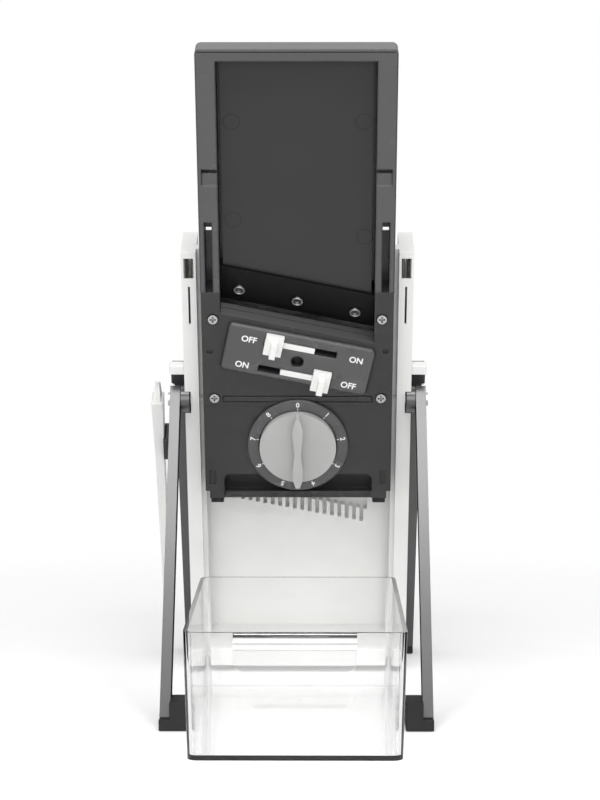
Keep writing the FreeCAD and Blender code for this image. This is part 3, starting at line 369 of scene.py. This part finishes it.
def worked_metal(name, rgb, roughness, grain=0.4 * MM, stretch=(1.0, 1.0, 1.0), depth=0.004 * MM, hollow=0.0):
    """A metal with scratches of a given width and depth, which a stretch draws out along an axis. They are
    drawn coarser than real ones, which the picture could not hold. Where a hollow shade depth is given,
    recesses of about that depth get painted shade."""
    material, tree = new_material(name)
    place, _, tint = drifting(tree, rgb, drift=0.04, patch=12 * MM)
    if hollow:
        tint = darkened_hollows(tree, tint, hollow)
    drawn = add_node(tree, "ShaderNodeMapping", {"Vector": place, "Scale": stretch})
    lines = add_node(tree, "ShaderNodeTexNoise", {"Vector": drawn.outputs["Vector"], "Scale": 1 / grain,
                                                  "Detail": 2.0})
    bump = add_node(tree, "ShaderNodeBump", {"Height": lines.outputs["Fac"], "Strength": 1.0,
                                             "Distance": depth})
    polish = add_node(tree, "ShaderNodeMapRange", {"Value": lines.outputs["Fac"],
                                                   "To Min": roughness - METAL_SPREAD,
                                                   "To Max": roughness + METAL_SPREAD})
    shade = add_node(tree, "ShaderNodeBsdfPrincipled", {"Metallic": 1.0, "Base Color": tint,
                                                        "Normal": bump.outputs["Normal"],
                                                        "Roughness": polish.outputs["Result"]})
    add_node(tree, "ShaderNodeOutputMaterial", {"Surface": shade.outputs["BSDF"]})
    return material


def material_once(name, make, *values, **settings):
    """The material of that name, made on first use."""
    return bpy.data.materials.get(name) or make(name, *values, **settings)


def white_abs():
    """Gloss white moulding: a soft highlight broken by faint orange peel."""
    return material_once("ABS, injection moulded white", moulded, bpy.context.scene.slicer_colours.white,
                         roughness=0.34, grain=1.6 * MM, depth=0.012 * MM)


def charcoal_abs():
    """Dark moulding with a spark-eroded grain: a wide dull sheen. The grain is drawn coarser than
    the real 0.1 mm, which the picture could not hold."""
    # The rounding also gives this moulding painted shade on edges that turn to the left or right
    return material_once("ABS, spark-eroded charcoal", moulded, bpy.context.scene.slicer_colours.charcoal,
                         roughness=0.36, grain=0.6 * MM, depth=0.015 * MM, drift=0.05, rounding=0.8 * MM,
                         **{"Specular IOR Level": 0.3})


def hood_abs():
    """Lighter dark moulding with an etched grain, drawn coarser than real: an even grey all over the hood,
    with a soft sheen and painted shade on the edges that turn to its sides."""
    return material_once("ABS, etched grey", moulded, bpy.context.scene.slicer_colours.hood,
                         roughness=0.27, grain=0.8 * MM, depth=0.012 * MM, drift=0.04, rounding=1.6 * MM,
                         **{"Specular IOR Level": 0.45})


def smooth_abs():
    """Smooth dark plate of the hood: a broad sheen with almost no grain."""
    return material_once("ABS, polished charcoal", moulded, bpy.context.scene.slicer_colours.plate,
                         roughness=0.30, grain=1.2 * MM, depth=0.006 * MM, drift=0.05,
                         **{"Specular IOR Level": 0.3})


def clamp_abs():
    """Darker glass-filled strip: matt, with a grain drawn coarser than real."""
    return material_once("Glass-filled nylon, moulded black", moulded, bpy.context.scene.slicer_colours.clamp,
                         roughness=0.5, grain=0.6 * MM, depth=0.03 * MM, drift=0.06,
                         **{"Specular IOR Level": 0.2})


def grey_abs():
    """Pale grey satin moulding of the dial: a calm, even face."""
    return material_once("ABS, satin pale grey", moulded, bpy.context.scene.slicer_colours.knob,
                         roughness=0.38, grain=0.8 * MM, depth=0.012 * MM)


def leg_paint():
    """Dark satin paint on metal: the front catches the overhead light and the sides stay dark."""
    return material_once("Aluminium, satin graphite paint", painted_bar, bpy.context.scene.slicer_colours.leg)


def black_rubber():
    """Matt black rubber with a dusty grain, drawn coarser than real."""
    return material_once("Rubber, moulded black", moulded, bpy.context.scene.slicer_colours.rubber,
                         roughness=0.7, grain=0.7 * MM, depth=0.05 * MM, drift=0.1)


def brushed_steel():
    """Rolled steel: fine lines along the sheet that draw the highlight out. Drawn coarser than real."""
    return material_once("Stainless steel, brushed", worked_metal, bpy.context.scene.slicer_colours.steel,
                         roughness=0.30, stretch=(0.05, 1.0, 1.0))


def zinc_steel():
    """Bright plated screw heads, with painted shade in their recesses."""
    return material_once("Steel, zinc plated", worked_metal, bpy.context.scene.slicer_colours.zinc,
                         roughness=0.22, hollow=1.5 * MM)


def turned_steel():
    """Turned rim of a screw: rough enough to stay bright all round."""
    return material_once("Steel, turned", worked_metal, bpy.context.scene.slicer_colours.steel,
                         roughness=0.60)


def oxide_steel():
    """Dark oxidised screw heads with a dull shine."""
    return material_once("Steel, black oxide", worked_metal, bpy.context.scene.slicer_colours.black_steel,
                         roughness=0.30)


def print_ink():
    """White pad-printed ink, slightly uneven in cover."""
    return material_once("Ink, pad printed white", moulded, bpy.context.scene.slicer_colours.ink,
                         roughness=0.5, grain=0.5 * MM, depth=0.004 * MM, drift=0.03)


def nylon():
    """Pale nylon strands, uneven in tone and softly shiny."""
    return material_once("Nylon, drawn bristle", moulded, bpy.context.scene.slicer_colours.nylon,
                         roughness=0.45, grain=1.0 * MM, depth=0.004 * MM, drift=0.08)


def clear_plastic(name):
    """Clear moulding: bright faces, and dark edges where the eye looks along a wall."""
    colours = bpy.context.scene.slicer_colours
    material, tree = new_material(name)
    place = add_node(tree, "ShaderNodeTexCoord").outputs["Object"]
    haze = add_node(tree, "ShaderNodeTexNoise", {"Vector": place, "Scale": 1 / (25 * MM)})
    polish = add_node(tree, "ShaderNodeMapRange", {"Value": haze.outputs["Fac"], "To Min": 0.0,
                                                   "To Max": 0.03})
    shade = add_node(tree, "ShaderNodeBsdfPrincipled", {"Transmission Weight": 1.0, "IOR": 1.57,
                                                        "Base Color": list(colours.clear) + [1.0],
                                                        "Roughness": polish.outputs["Result"]})
    depth = add_node(tree, "ShaderNodeVolumeAbsorption", {"Color": list(colours.depth_tint) + [1.0],
                                                          "Density": 20.0})
    add_node(tree, "ShaderNodeOutputMaterial", {"Surface": shade.outputs["BSDF"],
                                                "Volume": depth.outputs["Volume"]})
    return material


def soften(piece, width, segments):
    """Rounds the sharp edges of a CAD node as a moulding's are, without changing its mesh."""
    weld = piece.modifiers.new("weld", "WELD")
    weld.merge_threshold = WELD_GAP
    flat = piece.modifiers.new("flat", "DECIMATE")
    flat.decimate_type = "DISSOLVE"
    flat.angle_limit = FLAT_ANGLE
    edge = piece.modifiers.new("edge", "BEVEL")
    edge.width = width
    edge.segments = segments
    edge.limit_method = "ANGLE"
    edge.angle_limit = EDGE_ANGLE
    piece.modifiers.new("normals", "WEIGHTED_NORMAL")


def dress(names, material, edge=0.0, segments=2):
    """Gives CAD nodes a finish and, where an edge is given, softened edges of that width."""
    for name in names:
        piece = frame["nodes"][name]
        piece.data.materials.clear()
        piece.data.materials.append(material)
        if edge:
            soften(piece, edge, segments)


def mesh_piece(name, vertices, faces, material, body, slot):
    """A new mesh that moves with a body and takes the given finish; its slot is not used."""
    mesh = bpy.data.meshes.new(name)
    mesh.from_pydata(vertices, [], faces)
    mesh.materials.append(material)
    piece = bpy.data.objects.new(name, mesh)
    bpy.context.scene.collection.objects.link(piece)
    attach(piece, body)
    return piece


def printed(name, text, place, height, body):
    """Flat ink letters, centred on a place."""
    curve = bpy.data.curves.new(name, "FONT")
    curve.body = text
    curve.align_x = "CENTER"
    curve.align_y = "CENTER"
    curve.size = height / CAPITAL_SHARE
    curve.offset = height * INK_SPREAD
    curve.extrude = bpy.context.scene.slicer_sizes.ink_thickness
    curve.materials.append(print_ink())
    piece = bpy.data.objects.new(name, curve)
    piece.matrix_world = place
    bpy.context.scene.collection.objects.link(piece)
    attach(piece, body)
    return piece


def on_front(x, y, z, turn=0.0):
    """A place on the carriage's front, facing the user, turned clockwise by an angle."""
    return (carriage_frame() @ Matrix.Translation((x, y, z)) @ Matrix.Rotation(turn, 4, "Y")
            @ Matrix.Rotation(math.radians(90), 4, "X"))


def tube(points, radius, sides=6):
    """Vertices and faces of a round tube along points."""
    vertices, faces = [], []
    last = len(points) - 1
    for i, spot in enumerate(points):
        along = (points[min(i + 1, last)] - points[max(i - 1, 0)]).normalized()
        across = along.orthogonal() if i == 0 else across - along * across.dot(along)
        across.normalize()
        third = along.cross(across)
        for k in range(sides):
            turn = 2 * math.pi * k / sides
            vertices.append(spot + radius * (math.cos(turn) * across + math.sin(turn) * third))
    for i in range(last):
        for k in range(sides):
            n = (k + 1) % sides
            faces.append((i * sides + k, i * sides + n, (i + 1) * sides + n, (i + 1) * sides + k))
    faces.append(tuple(reversed(range(sides))))
    faces.append(tuple(range(last * sides, (last + 1) * sides)))
    return vertices, faces


def hoop(place, radius, tube_radius, steps=40):
    """A round ring that lies in the xy plane of a place."""
    turns = [2 * math.pi * i / steps for i in range(steps + 1)]
    points = [place @ Vector((radius * math.cos(t), radius * math.sin(t), 0.0)) for t in turns]
    return tube(points, tube_radius)


def thin_bar(place, width, height, depth):
    """A flat bar centred on a place, in its xy plane, with a depth to each side of that plane."""
    corners = [place @ Vector((x * width / 2, y * height / 2, z * depth)) for z in (-1, 1)
               for x, y in ((-1, -1), (1, -1), (1, 1), (-1, 1))]
    return corners, [(3, 2, 1, 0), (4, 5, 6, 7), (0, 1, 5, 4), (1, 2, 6, 5), (2, 3, 7, 6), (3, 0, 4, 7)]


def join_parts(parts):
    """One list of vertices and faces from several."""
    vertices, faces = [], []
    for some, loops in parts:
        start = len(vertices)
        vertices.extend(some)
        faces.extend(tuple(start + i for i in loop) for loop in loops)
    return vertices, faces


class SLICER_OT_frame(bpy.types.Operator):
    """Gives the rails, caps, wall and chute their white moulded finish and the pusher its charcoal one"""

    bl_idname = "slicer.frame_mouldings"
    bl_label = "Frame mouldings"

    def execute(self, context):
        edge = context.scene.slicer_sizes.edge
        dress(["left_rail", "right_rail", "left_rail_cap", "right_rail_cap", "base_bar", "left_leg_stop",
               "right_leg_stop"], white_abs(), edge)
        dress(["frame_wall", "food_chute"], white_abs())
        dress(["pusher_plate", "pusher_cap"], charcoal_abs())
        return {"FINISHED"}


class SLICER_OT_steel(bpy.types.Operator):
    """Gives the blade, rods, pins, spindle and julienne blades their steel finish"""

    bl_idname = "slicer.steel_parts"
    bl_label = "Steel parts"

    def execute(self, context):
        dress(["left_guide_rod", "right_guide_rod", "front_pivot_pins", "rear_pivot_pins", "slicing_blade",
               "upper_julienne_blades", "lower_julienne_blades", "dial_spindle"], brushed_steel())
        return {"FINISHED"}


class SLICER_OT_springs(bpy.types.Operator):
    """Winds the two return springs that stand for the plain tubes of the frame"""

    bl_idname = "slicer.return_springs"
    bl_label = "Return springs"

    def execute(self, context):
        sizes = context.scene.slicer_sizes
        up = axis("carriage_slide")
        side, back = Vector((1, 0, 0)), Vector((0, up.z, -up.y))
        for name in ("left_return_spring", "right_return_spring"):
            low, high = (Vector(v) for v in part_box(name))
            side_room = sizes.spring_wire * COIL_SIDE_ROOM
            radius = (high.x - low.x) / 2 - side_room
            centre = (low + high) / 2
            spread = ((high.y - low.y) - 2 * (radius + side_room) * up.z) / abs(up.y)
            foot = centre - up * (spread / 2 - sizes.spring_wire * COIL_END_ROOM)
            tall = spread - 2 * COIL_END_ROOM * sizes.spring_wire
            steps = int(tall / sizes.spring_pitch * COIL_POINTS)
            points = []
            for i in range(steps + 1):
                turn = 2 * math.pi * i / COIL_POINTS
                points.append(foot + up * (tall * i / steps)
                              + radius * (math.cos(turn) * side + math.sin(turn) * back))
            vertices, faces = tube(points, sizes.spring_wire)
            coil = mesh_piece(name + "_coil", vertices, faces, brushed_steel(), "frame", "steel")
            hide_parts(name)
            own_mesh(coil)
        return {"FINISHED"}


class SLICER_OT_carriage(bpy.types.Operator):
    """Gives the carriage its grey and charcoal mouldings"""

    bl_idname = "slicer.carriage_mouldings"
    bl_label = "Carriage mouldings"

    def execute(self, context):
        edge = context.scene.slicer_sizes.edge
        dress(["chassis", "slider_cover", "dial_panel", "guard_plate", "blade_bed",
               "thickness_plate", "left_guide_shoe", "right_guide_shoe", "upper_julienne_bar",
               "lower_julienne_bar"], charcoal_abs())
        dress(["hood", "hood_back"], hood_abs())
        dress(["slider_plate", "dial_ring"], hood_abs(), edge)
        dress(["upper_plate"], smooth_abs())
        dress(["blade_clamp"], clamp_abs())
        return {"FINISHED"}


class SLICER_OT_marks(bpy.types.Operator):
    """Adds the faint round mould marks on the hood's recessed plate, and a dark line at the parting line of
    its lip that is painted shade of the groove under the lip
    """

    bl_idname = "slicer.mould_marks"
    bl_label = "Mould marks"

    def execute(self, context):
        sizes = context.scene.slicer_sizes
        depth = sizes.plate_recess + sizes.mark_width / 2 - sizes.ink_thickness
        rings = [hoop(on_front(x * MM, depth, z * MM), sizes.mark_radius, sizes.mark_width / 2)
                 for x, z in MARK_SPOTS]
        mesh_piece("mould_marks", *join_parts(rings), clamp_abs(), "carriage", "carriage_grey")
        # The lip's parting line, drawn dark as painted shade in the groove under the lip
        low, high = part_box("hood")
        line = thin_bar(on_front(0.0, 0.0, sizes.hood_height - sizes.lip_drop),
                        high[0] - low[0] - 2 * sizes.lip_drop, sizes.mark_width, sizes.ink_thickness)
        mesh_piece("hood_parting_line", *line, clamp_abs(), "carriage", "carriage_grey")
        return {"FINISHED"}


class SLICER_OT_numbers(bpy.types.Operator):
    """Prints the numbers 0 to 8 and their ticks on the dial's ring"""

    bl_idname = "slicer.dial_numbers"
    bl_label = "Dial numbers"

    def execute(self, context):
        sizes = context.scene.slicer_sizes
        ticks = []
        for number in NUMBERS:
            turn = math.radians(NUMBER_STEP * number)
            out = Vector((math.sin(turn), 0, math.cos(turn)))
            spot = out * sizes.number_radius
            printed("dial_number_%d" % number, str(number), on_front(spot.x, -sizes.ring_rise, spot.z, turn),
                    sizes.number_height, "carriage")
            middle = out * sizes.tick_radius
            place = on_front(middle.x, -sizes.ring_rise, middle.z, turn)
            ticks.append(thin_bar(place, sizes.tick_width, sizes.tick_length, sizes.ink_thickness))
        mesh_piece("dial_ticks", *join_parts(ticks), print_ink(), "carriage", "control_white")
        return {"FINISHED"}


class SLICER_OT_words(bpy.types.Operator):
    """Prints the ON and OFF words at the ends of the slider slots"""

    bl_idname = "slicer.slider_words"
    bl_label = "Slider words"

    def execute(self, context):
        sizes = context.scene.slicer_sizes
        slant = slant_angle()
        for name, text, along, across in SLIDER_WORDS:
            x = (along * math.cos(slant) + across * math.sin(slant)) * MM
            z = (across * math.cos(slant) - along * math.sin(slant)) * MM
            place = on_front(x, -sizes.slider_rise, sizes.slider_height + z, slant)
            printed("word_" + name, text, place, sizes.word_height, "carriage")
        return {"FINISHED"}


class SLICER_OT_controls(bpy.types.Operator):
    """Gives the sliders and the dial knob their finish"""

    bl_idname = "slicer.controls"
    bl_label = "Controls"

    def execute(self, context):
        edge = context.scene.slicer_sizes.edge
        dress(["upper_slider", "lower_slider"], white_abs(), edge)
        dress(["dial_knob"], grey_abs(), edge)
        return {"FINISHED"}


def screw_heads(node, count):
    """Places on top of each screw head of a node, with z out of the head."""
    toward = [face for face in frame["nodes"][node].data.polygons if face.normal.y < TOWARD_USER]
    out = max(toward, key=lambda face: face.area).normal.copy()
    heads = {}
    for face in toward:
        if face.normal.dot(out) > HEAD_LEVEL:
            heads.setdefault(round(face.center.x / HEAD_STEP), []).append(face)
    turn = out.to_track_quat("Z", "Y").to_matrix().to_4x4()
    places = []
    for faces in heads.values():
        area = sum(face.area for face in faces)
        centre = sum((face.center * face.area for face in faces), Vector()) / area
        rise = max((face.center - centre).dot(out) for face in faces)
        places.append(Matrix.Translation(centre + out * rise) @ turn)
    if len(places) != count:
        raise RuntimeError("%s has %d heads" % (node, len(places)))
    return places


class SLICER_OT_screws(bpy.types.Operator):
    """Gives the screw heads their plated or oxidised finish, and the blade screws their bright rims"""

    bl_idname = "slicer.screws"
    bl_label = "Screws"

    def execute(self, context):
        sizes = context.scene.slicer_sizes
        dress(["cover_screws", "chute_screws"], zinc_steel(), sizes.screw_edge)
        dress(["blade_screws"], oxide_steel(), sizes.screw_edge)
        lift = Matrix.Translation((0.0, 0.0, sizes.rim_rise))
        rims = [hoop(place @ lift, sizes.rim_radius, sizes.rim_width / 2)
                for place in screw_heads("blade_screws", BLADE_SCREWS)]
        mesh_piece("blade_screw_rims", *join_parts(rims), turned_steel(), "carriage", "steel")
        return {"FINISHED"}


class SLICER_OT_stand(bpy.types.Operator):
    """Gives the legs and hubs their dark satin paint"""

    bl_idname = "slicer.stand"
    bl_label = "Stand"

    def execute(self, context):
        edge = context.scene.slicer_sizes.edge
        dress(["left_front_leg", "right_front_leg", "rear_leg_frame"], leg_paint(), edge * LEG_EDGE_TIMES,
              LEG_SEGMENTS)
        dress(["left_front_hub", "right_front_hub"], leg_paint(), edge)
        return {"FINISHED"}


class SLICER_OT_feet(bpy.types.Operator):
    """Gives the feet, the sole and the bumpers their black rubber"""

    bl_idname = "slicer.rubber_feet"
    bl_label = "Rubber feet"

    def execute(self, context):
        dress(["left_front_foot", "right_front_foot", "rear_sole", "left_bumper", "right_bumper"],
              black_rubber(), context.scene.slicer_sizes.edge)
        return {"FINISHED"}


class SLICER_OT_tray(bpy.types.Operator):
    """Gives the catch tray its clear moulding"""

    bl_idname = "slicer.tray"
    bl_label = "Catch tray"

    def execute(self, context):
        dress(["catch_tray"], material_once("SAN, clear moulded", clear_plastic))
        frame["nodes"]["catch_tray"].visible_shadow = False
        return {"FINISHED"}


class SLICER_OT_brush(bpy.types.Operator):
    """Gives the brush its handle and clip, and draws its bristles"""

    bl_idname = "slicer.brush"
    bl_label = "Cleaning brush"

    def execute(self, context):
        sizes = context.scene.slicer_sizes
        dress(["brush_handle"], white_abs(), sizes.edge)
        dress(["brush_clip"], charcoal_abs(), sizes.edge)
        up = axis("brush_slide")
        across, back = Vector((1, 0, 0)), Vector((0, up.z, -up.y))
        low, high = (Vector(v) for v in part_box("brush_bristles"))
        middle = (low + high) / 2
        tall = sizes.bristle_length
        room = STRAND_ROOM * sizes.strand_radius
        rng = random.Random(STRAND_SEED)
        strands = []
        for row in range(STRAND_ROWS):
            for strand in range(STRANDS_IN_ROW):
                x = (row / (STRAND_ROWS - 1) - 0.5) * (sizes.bristle_thickness - room)
                y = (strand / (STRANDS_IN_ROW - 1) - 0.5) * (sizes.bristle_width - room)
                spot = across * x + back * y
                foot = middle + spot - up * tall / 2
                lean = across * rng.uniform(-TIP_LEAN, TIP_LEAN)
                top = middle + spot * TIP_CLOSE + lean + up * tall * rng.uniform(*TIP_HEIGHTS)
                strands.append(tube([foot, top], sizes.strand_radius))
        bristles = mesh_piece("bristle_strands", *join_parts(strands), nylon(), "brush", "bristle_white")
        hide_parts("brush_bristles")
        return {"FINISHED"}


def softbox(name, place, target, width, height, watts):
    """A rectangular studio light aimed at a point."""
    light = bpy.data.lights.new(name, "AREA")
    light.shape = "RECTANGLE"
    light.size, light.size_y, light.energy = width, height, watts
    lamp = bpy.data.objects.new(name, light)
    aim = (Vector(target) - Vector(place)).to_track_quat("-Z", "Y")
    lamp.matrix_world = Matrix.Translation(place) @ aim.to_matrix().to_4x4()
    bpy.context.scene.collection.objects.link(lamp)
    return lamp


def flag(name, x, rgb):
    """A black card beside the slicer, out of the picture: it draws dark edges on clear and glossy pieces
    and takes no light from them."""
    mesh = bpy.data.meshes.new(name)
    corners = [(x, CARD_NEAR, 0.0), (x, CARD_FAR, 0.0), (x, CARD_FAR, CARD_TOP), (x, CARD_NEAR, CARD_TOP)]
    mesh.from_pydata(corners, [], [(0, 1, 2, 3)])
    mesh.materials.append(material_once("Card, matt black", moulded, rgb, roughness=0.9, grain=1.0 * MM,
                                        depth=0.01 * MM))
    card = bpy.data.objects.new(name, mesh)
    card.visible_camera = card.visible_diffuse = card.visible_shadow = False
    bpy.context.scene.collection.objects.link(card)
    return card


def studio_world(ambient):
    """White wherever the eye, a reflection or the tray looks past the slicer, and softer as a light."""
    world = bpy.data.worlds.new("Studio")
    world.use_nodes = True
    tree = world.node_tree
    tree.nodes.clear()
    path = add_node(tree, "ShaderNodeLightPath").outputs
    seen = add_node(tree, "ShaderNodeMath", {0: path["Is Camera Ray"], 1: path["Is Glossy Ray"]},
                    operation="MAXIMUM")
    seen = add_node(tree, "ShaderNodeMath", {0: seen.outputs[0], 1: path["Is Transmission Ray"]},
                    operation="MAXIMUM")
    level = add_node(tree, "ShaderNodeMapRange", {"Value": seen.outputs[0], "To Min": ambient, "To Max": 1.0})
    sky = add_node(tree, "ShaderNodeBackground", {"Color": WHITE, "Strength": level.outputs["Result"]})
    add_node(tree, "ShaderNodeOutputWorld", {"Surface": sky.outputs["Background"]})
    bpy.context.scene.world = world


def floor_material(name, stage):
    """Pale matt board that fades out far from the slicer, so that no horizon shows."""
    material, tree = new_material(name)
    path = add_node(tree, "ShaderNodeLightPath")
    lift = add_node(tree, "ShaderNodeMath", {0: path.outputs["Is Camera Ray"], 1: stage.floor_lift},
                    operation="MULTIPLY")
    place, _, tint = drifting(tree, stage.floor_colour, drift=0.004, patch=200 * MM)
    shade = add_node(tree, "ShaderNodeBsdfPrincipled", {"Base Color": tint, "Specular IOR Level": 0.0,
                                                        "Roughness": 0.9, "Emission Color": WHITE,
                                                        "Emission Strength": lift.outputs[0]})
    far = add_node(tree, "ShaderNodeVectorMath", {0: place}, operation="LENGTH")
    fade = add_node(tree, "ShaderNodeMapRange", {"Value": far.outputs["Value"],
                                                 "From Min": stage.floor_radius * FADE_START,
                                                 "From Max": stage.floor_radius * FADE_END},
                    interpolation_type="SMOOTHSTEP")
    gone = add_node(tree, "ShaderNodeBsdfTransparent")
    mixed = add_node(tree, "ShaderNodeMixShader", {"Fac": fade.outputs["Result"], 1: shade.outputs["BSDF"],
                                                   2: gone.outputs["BSDF"]})
    add_node(tree, "ShaderNodeOutputMaterial", {"Surface": mixed.outputs["Shader"]})
    return material


def studio_floor(stage):
    """A round floor just under the slicer's feet."""
    turns = [2 * math.pi * i / FLOOR_CORNERS for i in range(FLOOR_CORNERS)]
    rim = [(stage.floor_radius * math.cos(t), stage.floor_radius * math.sin(t), 0.0) for t in turns]
    mesh = bpy.data.meshes.new("floor")
    mesh.from_pydata(rim, [], [tuple(range(FLOOR_CORNERS))])
    mesh.materials.append(floor_material("Board, matt white paint", stage))
    floor = bpy.data.objects.new("floor", mesh)
    floor.location = (*FLOOR_MIDDLE, -stage.floor_drop)
    bpy.context.scene.collection.objects.link(floor)
    return floor


def studio_camera(stage):
    """A camera that looks at the slicer from the front, a little from above."""
    view = bpy.data.cameras.new("camera")
    view.lens, view.sensor_width = stage.camera_lens, stage.camera_sensor
    camera = bpy.data.objects.new("camera", view)
    camera.location = stage.camera_place
    camera.rotation_euler = (stage.camera_tilt, 0.0, stage.camera_turn)
    bpy.context.scene.collection.objects.link(camera)
    return camera


class SLICER_OT_stage(bpy.types.Operator):
    """Sets the floor, the soft studio light and the camera"""

    bl_idname = "slicer.stage"
    bl_label = "Studio and camera"

    def execute(self, context):
        stage = context.scene.slicer_stage
        studio_world(stage.ambient)
        floor = studio_floor(stage)
        lamps = [softbox(name, place, target, width, height, getattr(stage, watts))
                 for name, watts, place, target, width, height in LAMPS]
        cards = [flag("flag_left", -stage.flag_distance, stage.flag_colour),
                 flag("flag_right", stage.flag_distance, stage.flag_colour)]
        context.scene.camera = studio_camera(stage)
        context.scene.view_settings.view_transform = "Standard"
        return {"FINISHED"}


OPERATORS = (SLICER_OT_frame, SLICER_OT_steel, SLICER_OT_springs, SLICER_OT_carriage, SLICER_OT_marks,
             SLICER_OT_numbers, SLICER_OT_words, SLICER_OT_controls, SLICER_OT_screws, SLICER_OT_stand,
             SLICER_OT_feet, SLICER_OT_tray, SLICER_OT_brush, SLICER_OT_stage)


class SLICER_PT_panel(bpy.types.Panel):
    """Lists the steps that dress the slicer"""

    bl_idname = "SLICER_PT_panel"
    bl_label = "Mandoline slicer"
    bl_space_type = "VIEW_3D"
    bl_region_type = "UI"
    bl_category = "Slicer"

    def draw(self, context):
        for operator in OPERATORS:
            self.layout.operator(operator.bl_idname)


GROUPS = {"slicer_colours": SlicerColours, "slicer_sizes": SlicerSizes, "slicer_stage": SlicerStage}


def register():
    for name, group in GROUPS.items():
        bpy.utils.register_class(group)
        setattr(bpy.types.Scene, name, bpy.props.PointerProperty(type=group))
    for cls in OPERATORS + (SLICER_PT_panel,):
        bpy.utils.register_class(cls)


def unregister():
    for cls in reversed(OPERATORS + (SLICER_PT_panel,)):
        bpy.utils.unregister_class(cls)
    for name, group in reversed(list(GROUPS.items())):
        delattr(bpy.types.Scene, name)
        bpy.utils.unregister_class(group)


def main():
    """Registers the add-on and runs each step in order."""
    register()
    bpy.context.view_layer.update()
    for operator in OPERATORS:
        family, step = operator.bl_idname.split(".")
        getattr(getattr(bpy.ops, family), step)()


if __name__ == "__main__":
    main()
